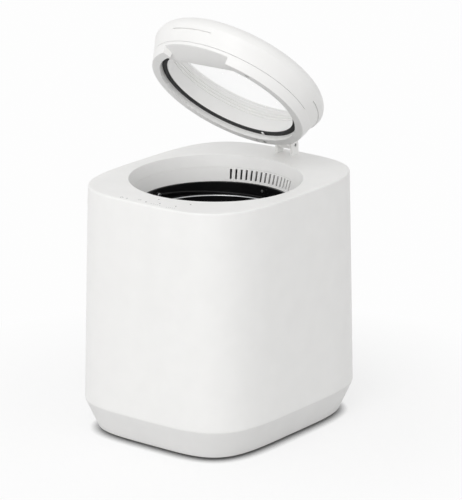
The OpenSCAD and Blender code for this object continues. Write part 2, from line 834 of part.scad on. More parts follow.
// one toothed disc
module gear(m, teeth, height, turn) {
    f = flank(m, teeth);
    last = len(f) - 1;
    points = [for (t = [0:teeth - 1]) let (c = turn + 360 * t / teeth) each concat(
        [for (k = [0:last]) f[k][0] * [cos(c - f[k][1]), sin(c - f[k][1])]],
        [for (k = [last:-1:0]) f[k][0] * [cos(c + f[k][1]), sin(c + f[k][1])]])];
    linear_extrude(height = height) polygon(points);
}

// one set of claws
module claws(z0, z1, turn) {
    out = claw_r - 0.6;
    for (i = [0:2]) at_mouth(turn + 120 * i) rotate_extrude(angle = claw_span)
        polygon([[out - claw_w, z0], [out, z0], [out, z1], [out - claw_w, z1]]);
}

module output_gear() color(steel) {
    shaft_low = gearbox_z + gearbox_floor + 0.3;
    at_each([axis_out]) {
        difference() {
            translate([0, 0, stage_c[1]]) gear(stage_c[0], output_teeth, stage_c[2], angle_2);
            translate([0, 0, stage_c[1] - cut]) cylinder(r = output_r - 1, h = stage_c[2] + 2 * cut);
        }
        translate([0, 0, shaft_low]) cylinder(r = output_r, h = driver_z + 0.3 - shaft_low);
        translate([0, 0, driver_z]) cylinder(r = claw_r, h = driver_t);
    }
    claws(driver_z + 2, driver_z + driver_t + claw_h, 0);
}

// a large gear with a small one above it, bored for its pin
module idler(axis, low, teeth, turn, high, high_turn) {
    top = high[1] + high[2];
    at_each([axis]) difference() {
        translate([0, 0, low[1]]) union() {
            gear(low[0], teeth, low[2], turn);
            gear(high[0], pinion_teeth, top - low[1], high_turn);
        }
        translate([0, 0, low[1] - cut]) cylinder(r = idler_pin_r + running, h = top - low[1] + 2 * cut);
    }
}

module idler_gear_1() color(gear_white) {
    idler(axis_1, stage_a, idler1_teeth, angle_m, stage_b, facing(angle_1 + 180));
}

module idler_gear_2() color(gear_white) {
    idler(axis_2, stage_b, idler2_teeth, angle_1, stage_c, facing(angle_2));
}

module motor_rotor() color(steel) {
    at_each([axis_m]) {
        translate([0, 0, motor_z + 1.5])
            cylinder(r = motor_shaft_r, h = stage_a[1] + stage_a[2] - motor_z - 1.5);
        translate([0, 0, stage_a[1] - 4]) gear(stage_a[0], pinion_teeth, stage_a[2] + 4, facing(angle_m));
        translate([0, 0, motor_z + 8]) cylinder(r = motor_r - 9, h = motor_h - 18);
    }
}

module motor_can() color(steel) {
    at_each([axis_m]) difference() {
        translate([0, 0, motor_z]) cylinder(r = motor_r, h = motor_h);
        translate([0, 0, motor_z + 5]) cylinder(r = motor_r - motor_wall, h = motor_h - 10);
        translate([0, 0, motor_z + 1]) cylinder(r = motor_shaft_r + running, h = motor_h);
    }
}

module motor_stator() color(copper) {
    at_each([axis_m]) tube(motor_r - motor_wall, motor_r - 8, motor_z + 6, motor_z + motor_h - 6);
}

module motor_screws() color(steel) {
    for (a = [30, 150, 270]) at_each([turn_to(axis_m, a, 20)]) translate([0, 0, gearbox_z + gearbox_floor])
        cylinder(r = 2.6, h = 2);
}

// air path at the rear

module air_duct() color(dark) {
    front = mouth_y + well_flange_r + 1;
    back = bay_y[1] - 4;
    top = throat_z - 1;
    half = bay_in - 16;
    difference() {
        block([-half, front, bay_z[1]], [half, back, top]);
        block([tray_t - half, front - cut, bay_z[1] - cut], [half - tray_t, back - tray_t, top - tray_t]);
    }
}

module filter_bay() color(dark) {
    duct_in = duct_half - 3;
    difference() {
        block([-bay_in - tray_t, bay_y[0], bay_z[0]], [bay_in + tray_t, bay_y[1], bay_z[1]]);
        block([-bay_in, bay_y[0] + tray_t, bay_z[0] + tray_t], [bay_in, bay_y[1] + cut, bay_z[1] - tray_t]);
        block([18 - bay_in, bay_y[0] + 6, bay_z[1] - tray_t - cut],
            [bay_in - 18, bay_y[1] - 8, bay_z[1] + cut]);
        block([-duct_in, duct_y[0] + 3, bay_z[0] - cut], [duct_in, duct_y[1] - 3, bay_z[0] + tray_t + cut]);
    }
}

module fan_duct() color(dark) {
    half = duct_half;
    difference() {
        block([-half, duct_y[0], gearbox_z], [half, duct_y[1], bay_z[0]]);
        block([tray_t - half, duct_y[0] + tray_t, gearbox_z + tray_t],
            [half - tray_t, duct_y[1] - tray_t, bay_z[0] + cut]);
        translate([0, duct_y[1] - 3, fan_z]) rear_cylinder(fan_side / 2 - 2, 4);
    }
}

// a square frame with a round hole and, at the rear, four struts that hold the rotor's hub
module fan_frame() color(dark) {
    half = fan_side / 2;
    hole_r = half - 2;
    strut_t = 2;
    difference() {
        block([-half, duct_y[1], fan_z - half], [half, duct_y[1] + fan_t, fan_z + half]);
        translate([0, duct_y[1] - cut, fan_z]) rear_cylinder(hole_r, fan_t - strut_t + cut);
        translate([0, duct_y[1] + fan_t - strut_t - cut, fan_z]) rotate([-90, 0, 0]) difference() {
            cylinder(r = hole_r, h = strut_t + 2 * cut);
            cylinder(r = fan_hub_r, h = strut_t + 2 * cut);
            for (a = [0:90:270]) rotate([0, 0, a]) block([0, -1.5, 0], [fan_side, 1.5, strut_t + 2 * cut]);
        }
        translate([0, duct_y[1] - cut, fan_z]) rear_cylinder(fan_pin_r + running, fan_t + 2 * cut);
    }
}

module fan_rotor() color(black) {
    rotor_t = fan_t - 3.5;
    reach = fan_side / 2 - 3.5;
    translate([0, duct_y[1] + 1, fan_z]) rotate([-90, 0, 0]) {
        cylinder(r = fan_hub_r, h = rotor_t);
        cylinder(r = fan_pin_r, h = fan_t - 1);
        for (i = [0:fan_blades - 1]) rotate([0, 0, 360 * i / fan_blades])
            translate([fan_hub_r - 2, 0, rotor_t / 2]) rotate([38, 0, 0])
                block([0, -6, -0.6], [reach - fan_hub_r + 2, 6, 0.6]);
    }
}

// a socket for two pins, with rounded ends
module power_inlet() color(black) {
    socket_r = 5;
    difference() {
        block([inlet_x - inlet_w / 2, inlet_y - inlet_depth - 6, inlet_z - inlet_h / 2],
            [inlet_x + inlet_w / 2, inlet_y, inlet_z + inlet_h / 2]);
        translate([inlet_x, inlet_y - inlet_depth, inlet_z]) {
            for (s = [-1, 1]) translate([s * socket_r, 0, 0]) rear_cylinder(socket_r, inlet_depth + cut);
            block([-socket_r, 0, -socket_r], [socket_r, inlet_depth + cut, socket_r]);
        }
    }
    for (s = [-1, 1]) translate([inlet_x + s * inlet_pins / 2, inlet_y - inlet_depth - 1, inlet_z])
        rear_cylinder(1.2, inlet_depth - 1);
}

// control board on its bracket, at the front

module board_bracket() color(steel) {
    y = board_y + spacer_h;
    half = board_x + 2;
    block([-half, y, floor_z], [half, y + 2, board_z[1]]);
    block([-half, y, floor_z], [half, y + 20, floor_z + 2]);
    for (x = [5 - board_x, board_x - 5], z = board_z + [5, -5]) translate([x, board_y, z])
        rear_cylinder(3, spacer_h + 1);
}

module main_board() color(board_green) {
    block([-board_x, board_y - board_t, board_z[0]], [board_x, board_y, board_z[1]]);
}

// a transformer, two relays, two capacitors and a row of cooling fins
module board_components() color(dark) {
    y = board_y - board_t;
    translate([0, y, board_z[0]]) {
        block([-50, -24, 16], [-16, 0, 46]);
        block([-6, -16, 16], [12, 0, 28]);
        block([-6, -16, 34], [12, 0, 46]);
        for (x = [26, 42]) translate([x, -22, 26]) rear_cylinder(6, 22);
        for (i = [0:4]) block([8 * i - 44, -14, 56], [8 * i - 40, 0, 76]);
        block([-46, -3, 54], [-6, 0, 78]);
    }
}

// lid, drawn closed and then turned open about the hinge pin

module lid_place() {
    translate([0, hinge_y, hinge_z]) rotate([-lid_open, 0, 0])
        translate([0, -hinge_y, -hinge_z]) children();
}

// points [radius, height above the rim] moved up to the closed lid
function raised(points) = [for (p = points) [p[0], p[1] + lid_z]];

module lid_ring(points) {
    turned(raised(points));
}

module lid_sector(points, from, to) {
    sector(raised(points), from, to);
}

// room for the arm through the shells
module arm_room(low) {
    half = arm_w / 2 + 0.2;
    block([-half, mouth_y + 80, low], [half, hinge_y, hinge_z + barrel_r + 0.2]);
}

module lid_skirt() color(white) lid_place() {
    top = groove_h - groove_t;
    wall_r = inner_r + 2;
    difference() {
        lid_ring([[inner_r, 0], [rim_r, 0], [cone(top), top], [cone(top) - lid_t, top], [rim_r - 1.8, 2.6],
            [wall_r, 2.6], [wall_r, liner_low], [inner_r, liner_low]]);
        lid_sector([[wall_r + 0.6, -cut], [rim_r + 9, -cut], [rim_r + 9, notch_h], [wall_r + 0.6, notch_h]],
            -90 - notch_half, -90 + notch_half);
        at_each(arm_screws) translate([0, 0, lid_z - cut]) {
            cylinder(r = arm_screw_r, h = 5);
            cylinder(r = arm_head_r, h = cut + 1.4);
        }
    }
    // the grip plate behind the notch
    low = gasket_h - 2.4;
    at_mouth() intersection() {
        translate([0, 0, lid_z]) rotate([90, 0, -90]) translate([0, 0, -60]) linear_extrude(height = 120)
            polygon([[grip_y, low], [inner_r + 0.5, low], [rim_r + 4, notch_h - 0.2],
                [rim_r + 4, notch_h + 2], [inner_r + 1, notch_h - 0.8], [inner_r + 1, gasket_h - 0.2],
                [grip_y, gasket_h - 0.2]]);
        translate([0, 0, lid_z]) cylinder(r = rim_r + 1.5, h = 30);
        block([-60, -200, 0], [60, 0, 2 * case_h]);
    }
}

module lid_cover() color(white) lid_place() {
    seat_r = window_r + 0.2;
    ledge_r = window_r + 2.2;
    difference() {
        lid_ring(concat([[groove_r, groove_h]], dome(0), [[seat_r, window_h + 4.4], [seat_r, window_h],
            [ledge_r, window_h], [ledge_r, window_h + 2.2]], reversed(dome(lid_t)),
            [[groove_r - lid_t, groove_h]]));
        // the rear cap's place
        lid_sector([[groove_r - 8, groove_h - cut], [lid_r + 4, groove_h - cut], [lid_r + 4, cap_top],
            [groove_r - 8, cap_top]], 90 - cap_half, 90 + cap_half);
        // the short groove above the notch
        lid_sector([[cone(cap_top) - 0.6, cap_top - 0.4], [lid_r + 4, cap_top - 0.4],
            [lid_r + 4, cap_top + 0.4], [cone(cap_top) - 0.6, cap_top + 0.4]], -106, -74);
        arm_room(lid_z + cap_top - cut);
    }
}

module lid_rear_cap() color(white) lid_place() {
    low = groove_h;
    high = cap_top - 0.2;
    difference() {
        lid_sector([[cone(low) - 0.5, low], [cone(high) - 0.5, high], [cone(high) - 0.5 - lid_t, high],
            [cone(low) - 0.5 - lid_t, low]], 90.15 - cap_half, 89.85 + cap_half);
        arm_room(lid_z);
    }
}

// the white inner wall, with three fine steps below the window
module lid_liner() color(white) lid_place() {
    low = liner_low;
    liner_t = 2;
    ledge_r = window_r + 2.2;
    steps = [for (k = [0:2]) [window_h - 13 + 3 * k, 0.6 * k]];
    lid_ring(concat([[inner_r + 2, low], [gasket_r + 0.2, low]],
        [for (s = steps) each [[inside(s[0]) + s[1], s[0]], [inside(s[0]) + s[1] + 0.6, s[0]]]],
        [[liner_top, window_h], [ledge_r, window_h], [ledge_r, window_h - liner_t],
        [liner_top + liner_t, window_h - liner_t], [inside(low + liner_t) + liner_t, low + liner_t],
        [inner_r + 2, low + liner_t]]));
}

module lid_window() color(clear) lid_place() {
    at_mouth() translate([0, 0, lid_z + window_h]) cylinder(r = window_r, h = window_t, $fn = ring_fn);
}

module lid_gasket() color(black) lid_place() {
    lid_ring([[gasket_r, gasket_h], [inner_r, gasket_h], [inner_r, liner_low], [gasket_r, liner_low]]);
}

module lid_arm() color(white) lid_place() {
    front = arm_y + 3.2;
    back = arm_y + 8.4;
    difference() {
        union() {
            translate([-arm_w / 2, 0, 0]) rotate([90, 0, 90]) linear_extrude(height = arm_w)
                polygon([[front, lid_z + 2.6], [back, lid_z + 2.6], [back, lid_z + groove_h + 0.4],
                    [hinge_y - 6, hinge_z - barrel_r], [hinge_y, hinge_z - barrel_r],
                    [hinge_y, hinge_z + barrel_r], [back, hinge_z + barrel_r], [back, hinge_z],
                    [front, hinge_z - 8]]);
            on_hinge(barrel_r, arm_w / 2);
        }
        on_hinge(pin_r + running, arm_w);
        at_each(arm_screws) translate([0, 0, lid_z]) cylinder(r = arm_screw_r, h = 12);
    }
}

module lid_arm_screws() color(steel) lid_place() {
    at_each(arm_screws) translate([0, 0, lid_z]) {
        cylinder(r = arm_screw_r, h = 12);
        cylinder(r = arm_head_r, h = 1.4);
    }
}

module lid_magnet() color(steel) lid_place() {
    at_mouth(magnet_angle) translate([rim_r - 5.4, 0, lid_z + 2.6]) cylinder(r = 3, h = 4);
}

// bucket

// a cylinder along the bail's axis, from one distance to another on the +X side
module on_pivot(r, from, to) {
    rotate([0, 90, 0]) translate([0, 0, from]) cylinder(r = r, h = to - from);
}

module bucket() color(black) {
    z = bucket_floor_z;
    t = bucket_t;
    difference() {
        union() {
            turned([[0, z - t], [bucket_floor_r + t, z - t], [step_r + t, step_z - t],
                [bucket_r + t, step_z - t], [bucket_r + t, bucket_z - flange_t],
                [flange_r, bucket_z - flange_t], [flange_r, bucket_z], [bucket_r, bucket_z],
                [bucket_r, step_z], [step_r, step_z], [bucket_floor_r, z], [0, z]]);
            at_mouth() translate([0, 0, hub_low]) cylinder(r = hub_r, h = hub_top - hub_low);
        }
        at_mouth() {
            translate([0, 0, hub_low - cut]) cylinder(r = bush_r, h = hub_top - hub_low + 2 * cut);
            translate([0, 0, hub_top - seal_t]) cylinder(r = seal_r, h = seal_t + cut);
            for (a = [0, 90]) rotate([0, 0, a]) translate([0, 0, pivot_z])
                on_pivot(rivet_r, -2 * bucket_r, 2 * bucket_r);
        }
    }
}

// a pivot with a head at each end of the bail, and a plain rivet at the front and the rear
module bail_rivets() color(steel) {
    head = eye_x - eye_t - rivet_head_t - clearance;
    for (a = [0, 180]) at_mouth(a) translate([0, 0, pivot_z]) {
        on_pivot(rivet_r, head, bucket_r + bucket_t - 0.2);
        on_pivot(rivet_r + 1.35, head, head + rivet_head_t);
    }
    for (a = [90, 270]) at_mouth(a) translate([0, 0, pivot_z])
        on_pivot(rivet_r, bucket_r - 0.6, bucket_r + bucket_t - 0.2);
}

module bail() color(steel) {
    translate([0, mouth_y, pivot_z]) rotate([-bail_drop, 0, 0]) difference() {
        union() {
            rotate_extrude(angle = 180) translate([bail_r, 0]) circle(d = bail_wire, $fn = 24);
            for (s = [0, 1]) mirror([s, 0, 0]) on_pivot(eye_r, eye_x - eye_t, eye_x);
        }
        on_pivot(rivet_r + running, -2 * bucket_r, 2 * bucket_r);
    }
}

module shaft_bush() color([0.75, 0.6, 0.3]) {
    at_mouth() tube(bush_r, shaft_r + running, hub_low, hub_top - seal_t);
}

module shaft_seal() color(black) {
    at_mouth() tube(seal_r, shaft_r + running, hub_top - seal_t, hub_top);
}

// stirrer

module stirrer_shaft() color(steel) {
    low = driven_z - driven_t;
    at_mouth() translate([0, 0, low]) {
        cylinder(r = shaft_r, h = bucket_floor_z + stirrer_h - 6 - low);
        cylinder(r = claw_r, h = driven_t);
    }
    claws(low - claw_h, low + 1, claw_span + 2);
}

module stirrer_blades() color([0.16, 0.16, 0.17]) {
    z = bucket_floor_z;
    low = hub_top + clearance;
    top = z + stirrer_h;
    foot = z + 3;
    difference() {
        union() {
            turned([[0, low], [hub_r + 2, low], [hub_r + 2, top - 16], [hub_r - 2, top - 5],
                [shaft_r + 1, top], [0, top]]);
            for (i = [0:blade_count - 1]) at_mouth(30 + 360 * i / blade_count) rotate([90, 0, 0])
                translate([0, 0, -blade_t / 2]) linear_extrude(height = blade_t)
                    polygon([[hub_r + 3, foot], [blade_reach, foot], [blade_reach, foot + 17],
                        [hub_r + 16, foot + 39], [hub_r - 4, foot + 43], [hub_r - 4, low],
                        [hub_r + 3, low]]);
        }
        at_mouth() translate([0, 0, z]) cylinder(r = shaft_r, h = stirrer_h - 6);
    }
}

// filter drawer

// the body's own surface at the rear, moved in by inset
module rear_skin(inset) {
    loft([body_at(drawer_z - 20, inset), body_at(lip_z - 5, inset)]);
}

module tray() {
    x = bay_in - slide_gap;
    y = bay_y[0] + tray_t + slide_gap;
    z = bay_z[0] + tray_t + slide_gap;
    difference() {
        intersection() {
            rear_skin(wall / 2);
            block([-x, y, z], [x, crease_d, z + tray_h]);
        }
        block([tray_t - x, y + tray_t, z + tray_t], [x - tray_t, tray_back - tray_t, z + tray_h + cut]);
        block([12 - x, y + 9, z - cut], [x - 12, tray_back - 16, z + tray_t + cut]);
    }
}

// the drawer's face is cut from the body's own surface
module filter_drawer() color(white) {
    difference() {
        intersection() {
            rear_skin(0);
            block([-drawer_w / 2, bay_y[1] - 30, drawer_z], [drawer_w / 2, crease_d, drawer_z + drawer_h]);
        }
        rear_skin(wall);
        block([-finger_w / 2, bay_y[1] - 30, finger_z], [finger_w / 2, crease_d, finger_z + finger_h]);
    }
    tray();
}

module carbon_filter() color([0.25, 0.25, 0.26]) {
    x = bay_in - 2 * slide_gap - tray_t;
    y = bay_y[0] + 2 * tray_t + 2 * slide_gap;
    z = bay_z[0] + 2 * tray_t + slide_gap;
    top = z + cartridge_h;
    difference() {
        block([-x, y, z], [x, tray_back - tray_t - 1, top]);
        for (i = [-7:7]) block([i * 8 - 2, y + 5, top - 3], [i * 8 + 2, tray_back - 8, top + cut]);
    }
}

body_shell();
base_skirt();
rubber_feet();
base_screws();
vent_collar();
panel_frame();
panel_board();
indicator_lenses();
lid_sensor();
hinge_bracket();
hinge_pin();
heater_well();
heater_band();
well_insulation();
thermostat();
well_posts();
drive_frame();
gearbox_housing();
gearbox_cover();
gearbox_screws();
output_bearings();
idler_pins();
motor_can();
motor_stator();
motor_screws();
air_duct();
filter_bay();
fan_duct();
fan_frame();
power_inlet();
board_bracket();
main_board();
board_components();
lid_skirt();
lid_cover();
lid_rear_cap();
lid_liner();
lid_window();
lid_gasket();
lid_arm();
lid_arm_screws();
lid_magnet();
bucket();
shaft_bush();
shaft_seal();
bail_rivets();
bail();
stirrer_shaft();
stirrer_blades();
output_gear();
idler_gear_1();
idler_gear_2();
motor_rotor();
fan_rotor();
filter_drawer();
carbon_filter();
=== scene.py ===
"""Electric food waste composter with its round lid standing open: shapes and finishes of every piece.

Sizes are in millimetres, and each mesh is made in metres. Z is up and the front faces -Y.
"""

import json
import logging
import math
from collections.abc import Callable, Iterator, Sequence
from contextlib import contextmanager
from dataclasses import dataclass
from enum import Enum

import bmesh
import bpy
from mathutils import Matrix, Vector


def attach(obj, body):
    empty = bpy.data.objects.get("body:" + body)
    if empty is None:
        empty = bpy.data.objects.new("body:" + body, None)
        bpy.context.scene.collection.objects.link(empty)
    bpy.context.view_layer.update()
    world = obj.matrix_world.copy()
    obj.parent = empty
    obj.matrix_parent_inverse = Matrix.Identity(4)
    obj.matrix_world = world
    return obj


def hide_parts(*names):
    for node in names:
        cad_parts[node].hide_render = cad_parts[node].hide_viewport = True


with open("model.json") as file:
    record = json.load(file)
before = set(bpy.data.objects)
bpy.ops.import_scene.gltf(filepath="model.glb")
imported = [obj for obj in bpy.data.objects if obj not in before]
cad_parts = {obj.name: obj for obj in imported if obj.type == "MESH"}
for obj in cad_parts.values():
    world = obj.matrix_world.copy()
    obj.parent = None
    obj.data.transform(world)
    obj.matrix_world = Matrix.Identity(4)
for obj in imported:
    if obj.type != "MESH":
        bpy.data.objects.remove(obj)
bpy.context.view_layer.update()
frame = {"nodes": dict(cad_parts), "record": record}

MM = 0.001
# points nearer than this, in metres, are one
WELD = 1e-6
# faces that turn by less than this, in radians, are one
FLAT = math.radians(1)
# the fewest faces that can enclose a solid
LEAST_CLOSED = 4
log = logging.getLogger("composter")

Point = tuple[float, float]
Colour = tuple[float, float, float, float]


class Ends(Enum):
    """How the first and the last ring of a stack are shut."""

    CAPPED = "a flat face in each"
    BRIDGED = "a band of faces from one to the other"


class Cut(Enum):
    """What a cutting shape does to a piece."""

    AWAY = "DIFFERENCE"
    ADD = "UNION"
    KEEP = "INTERSECT"


class Slot(Enum):
    """The material slots that the record names."""

    SHELL = "shell_white"
    SKIRT = "skirt_white"
    RUBBER = "rubber"
    STEEL = "steel"
    ALUMINIUM = "aluminium"
    DARK = "dark_plastic"
    BLACK = "black_plastic"
    BOARD = "circuit_board"
    LENS = "lens_grey"
    FOIL = "heater_foil"
    FELT = "felt"
    COPPER = "copper"
    BRASS = "brass"
    WINDOW = "clear_window"
    BUCKET = "bucket_black"
    GEAR = "gear_plastic"
    CARBON = "carbon"


# Modelling helpers


def mix(a: float, b: float, share: float) -> float:
    """The value that lies a share of the way from a to b."""
    return a + (b - a) * share


def steps_between(low: float, high: float, count: int) -> list[float]:
    """Evenly spaced values from low to high, both included."""
    return [mix(low, high, k / count) for k in range(count + 1)]


def pick(piece: bpy.types.Object) -> None:
    """Makes one object the only selected and the active one.

    Args:
        piece: the object.
    """
    bpy.ops.object.select_all(action="DESELECT")
    piece.select_set(True)
    bpy.context.view_layer.objects.active = piece


@contextmanager
def editing(piece: bpy.types.Object) -> Iterator[None]:
    """Edit mode on one piece, with all of it selected, for the length of a with block.

    Args:
        piece: the mesh object to edit.

    Yields:
        Nothing. The edits are made inside the block.
    """
    pick(piece)
    bpy.ops.object.mode_set(mode="EDIT")
    bpy.ops.mesh.select_all(action="SELECT")
    yield
    bpy.ops.object.mode_set(mode="OBJECT")


def started(name: str) -> bpy.types.Object:
    """Names the primitive that was just added.

    Args:
        name: the piece's name.

    Returns:
        The new object.
    """
    piece = bpy.context.active_object
    piece.name = name
    piece.data.name = name
    return piece


def settle(piece: bpy.types.Object) -> bpy.types.Object:
    """Puts a piece's place into its mesh, so that its object sits at the origin.

    Args:
        piece: the piece.

    Returns:
        The same piece.
    """
    pick(piece)
    bpy.ops.object.transform_apply(location=True, rotation=True, scale=True)
    return piece


def close_up(piece: bpy.types.Object) -> None:
    """Merges doubled points, shuts any hole, and turns all faces outwards.

    Args:
        piece: the piece.
    """
    with editing(piece):
        bpy.ops.mesh.remove_doubles(threshold=WELD)
        bpy.ops.mesh.fill_holes(sides=0)
        bpy.ops.mesh.normals_make_consistent(inside=False)


def apply_modifier(piece: bpy.types.Object, kind: str, **settings: object) -> None:
    """Adds a modifier to a piece and applies it.

    Args:
        piece: the mesh object.
        kind: the modifier's type.
        settings: values of the modifier.
    """
    pick(piece)
    modifier = piece.modifiers.new(kind.lower(), kind)
    for name, value in settings.items():
        setattr(modifier, name, value)
    bpy.ops.object.modifier_apply(modifier=modifier.name)


def carve(piece: bpy.types.Object, tools: Sequence[bpy.types.Object], cut: Cut = Cut.AWAY) -> None:
    """Cuts a piece with shapes, which are used up.

    Args:
        piece: the piece that stays.
        tools: the cutting shapes.
        cut: what they do to it.
    """
    tool = joined(tools[0].name, tools)
    apply_modifier(piece, "BOOLEAN", object=tool, operation=cut.value, solver="EXACT")
    bpy.data.objects.remove(tool)


def joined(name: str, parts: Sequence[bpy.types.Object]) -> bpy.types.Object:
    """Joins meshes into one object.

    Args:
        name: the joined object's name.
        parts: the objects, of which the first one stays.

    Returns:
        The joined object.
    """
    bpy.ops.object.select_all(action="DESELECT")
    for part in parts:
        part.select_set(True)
    bpy.context.view_layer.objects.active = parts[0]
    if len(parts) > 1:
        bpy.ops.object.join()
    return started(name)


def break_edges(piece: bpy.types.Object, width: float, segments: int = 2, angle: float = 35) -> None:
    """Rounds a piece's sharp edges.

    Args:
        piece: the piece.
        width: width of the rounding, in mm.
        segments: number of facets across it.
        angle: the least angle between two faces, in degrees, that counts as an edge.
    """
    apply_modifier(
        piece, "BEVEL", width=width * MM, segments=segments, limit_method="ANGLE",
        angle_limit=math.radians(angle), harden_normals=False,
    )


def clear_slivers(piece: bpy.types.Object) -> None:
    """Welds what the cuts left double and deletes the odd faces that enclose nothing.

    Args:
        piece: the piece.
    """
    mesh = bmesh.new()
    mesh.from_mesh(piece.data)
    bmesh.ops.remove_doubles(mesh, verts=mesh.verts, dist=WELD)
    bmesh.ops.dissolve_degenerate(mesh, edges=mesh.edges, dist=WELD)
    left = set(mesh.faces)
    stray = []
    while left:
        island = [left.pop()]
        for face in island:
            near = {other for edge in face.edges if len(edge.link_faces) == 2 for other in edge.link_faces}
            near &= left
            left -= near
            island += near
        if len(island) < LEAST_CLOSED:
            stray += island
    if stray:
        bmesh.ops.delete(mesh, geom=stray, context="FACES")
    mesh.to_mesh(piece.data)
    mesh.free()


def smooth(piece: bpy.types.Object, angle: float = 32) -> bpy.types.Object:
    """Shades a piece smooth up to an angle, with the large faces kept flat.

    Args:
        piece: the piece.
        angle: the angle above which an edge stays sharp, in degrees.

    Returns:
        The same piece.
    """
    clear_slivers(piece)
    pick(piece)
    bpy.ops.object.shade_smooth_by_angle(angle=math.radians(angle))
    apply_modifier(piece, "WEIGHTED_NORMAL", keep_sharp=True)
    return piece


def rounded(points: Sequence[Sequence[float]], closed: bool = True, facets: int = 5) -> list[Point]:
    """A path whose corners are rounded.

    Args:
        points: [x, y] or [x, y, corner radius] for each corner.
        closed: whether the path ends where it starts.
        facets: number of facets on each rounded corner.

    Returns:
        The points of the rounded path.
    """
    path: list[Point] = []
    count = len(points)
    for k, corner in enumerate(points):
        here = Vector(corner[:2])
        radius = corner[2] if len(corner) > 2 else 0
        if radius <= 0 or (not closed and k in (0, count - 1)):
            path.append(tuple(here))
            continue
        back = (Vector(points[k - 1][:2]) - here).normalized()
        ahead = (Vector(points[(k + 1) % count][:2]) - here).normalized()
        half = back.angle(ahead) / 2
        centre = here + (back + ahead).normalized() * (radius / math.sin(half))
        first = here + back * (radius / math.tan(half)) - centre
        last = here + ahead * (radius / math.tan(half)) - centre
        for step in steps_between(0, 1, facets):
            arm = first.lerp(last, step).normalized() * radius
            path.append(tuple(centre + arm))
    return path


def arc(centre: Point, radius: float, start: float, end: float, count: int) -> list[Point]:
    """Points along an arc between two angles in radians."""
    x, y = centre
    return [(x + radius * math.cos(a), y + radius * math.sin(a)) for a in steps_between(start, end, count)]


def oblong(near: float, far: float, low: float, high: float) -> list[Point]:
    """A section that reaches from one radius to another and from one height to another."""
    return [(near, low), (far, low), (far, high), (near, high)]


@dataclass(frozen=True)
class Outline:
    """A squared ring around the case: half width, half depth, squareness (2 is round) and height."""

    half_x: float
    half_y: float
    squareness: float
    z: float
    centre_y: float = 0.0

    def point(self, angle: float) -> Vector:
        """The ring's point in the direction angle, in metres.

        Args:
            angle: direction from the ring's centre, in radians.

        Returns:
            The point.
        """
        c, s = math.cos(angle), math.sin(angle)
        n = self.squareness
        reach = (abs(c / self.half_x) ** n + abs(s / self.half_y) ** n) ** (-1 / n)
        return Vector((reach * c, self.centre_y + reach * s, self.z)) * MM


def ring_stack(name: str, rings: Sequence[Outline], ends: Ends, steps: int = 240) -> bpy.types.Object:
    """A closed skin drawn up through a stack of rings.

    Args:
        name: the piece's name.
        rings: the rings in order.
        ends: how the stack is shut.
        steps: number of points on each ring.

    Returns:
        The piece.
    """
    bpy.ops.object.select_all(action="DESELECT")
    bpy.ops.mesh.primitive_circle_add(vertices=steps, radius=1, fill_type="NOTHING")
    piece = started(name)
    with editing(piece):
        for _ in rings[1:]:
            bpy.ops.mesh.extrude_region_move(TRANSFORM_OT_translate={"value": (0, 0, 1)})
    turn = math.tau / steps
    for vertex in piece.data.vertices:
        ring = rings[round(vertex.co.z)]
        vertex.co = ring.point(turn * round(math.atan2(vertex.co.y, vertex.co.x) / turn))
    if ends is Ends.BRIDGED:
        with editing(piece):
            bpy.ops.mesh.select_all(action="DESELECT")
            bpy.ops.mesh.select_non_manifold()
            bpy.ops.mesh.bridge_edge_loops()
    close_up(piece)
    return piece


@dataclass(frozen=True)
class Sweep:
    """The part of a full turn that a turned piece takes up, in degrees."""

    start: float = 0.0
    angle: float = 360.0
    steps: int = 192


def turned(name: str, section: Sequence[Point], centre_y: float, sweep: Sweep = Sweep()) -> bpy.types.Object:
    """A section of (radius, height) points turned about an upright axis.

    Args:
        name: the piece's name.
        section: the closed section.
        centre_y: where the axis stands.
        sweep: how far it is turned.

    Returns:
        The piece.
    """
    bpy.ops.object.select_all(action="DESELECT")
    bpy.ops.mesh.primitive_circle_add(vertices=len(section), radius=1, fill_type="NOTHING")
    piece = started(name)
    start = math.radians(sweep.start)
    for vertex, (radius, height) in zip(piece.data.vertices, section):
        vertex.co = Vector((radius * math.cos(start), centre_y + radius * math.sin(start), height)) * MM
    with editing(piece):
        bpy.ops.mesh.spin(
            steps=sweep.steps, angle=math.radians(sweep.angle), center=(0, centre_y * MM, 0), axis=(0, 0, -1)
        )
    close_up(piece)
    return piece


def prism(name: str, points: Sequence[Point], low: float, high: float) -> bpy.types.Object:
    """A flat outline in X and Y drawn up from one height to another.

    Args:
        name: the piece's name.
        points: the closed outline.
        low: the lower height.
        high: the upper height.

    Returns:
        The piece.
    """
    bpy.ops.object.select_all(action="DESELECT")
    bpy.ops.mesh.primitive_circle_add(vertices=len(points), radius=1, fill_type="NGON")
    piece = started(name)
    for vertex, (x, y) in zip(piece.data.vertices, points):
        vertex.co = Vector((x, y, low)) * MM
    with editing(piece):
        bpy.ops.mesh.extrude_region_move(TRANSFORM_OT_translate={"value": (0, 0, (high - low) * MM)})
    close_up(piece)
    return piece


def across(piece: bpy.types.Object) -> bpy.types.Object:
    """Turns a prism drawn in (depth, height) so that it runs along X: x, y, z become y, z, x."""
    piece.data.transform(Matrix(((0, 0, 1, 0), (1, 0, 0, 0), (0, 1, 0, 0), (0, 0, 0, 1))))
    return piece


def upright(piece: bpy.types.Object) -> bpy.types.Object:
    """Tips a prism drawn in (width, height) up by a quarter turn, so that it runs along -Y."""
    piece.data.transform(Matrix(((1, 0, 0, 0), (0, 0, -1, 0), (0, 1, 0, 0), (0, 0, 0, 1))))
    return piece


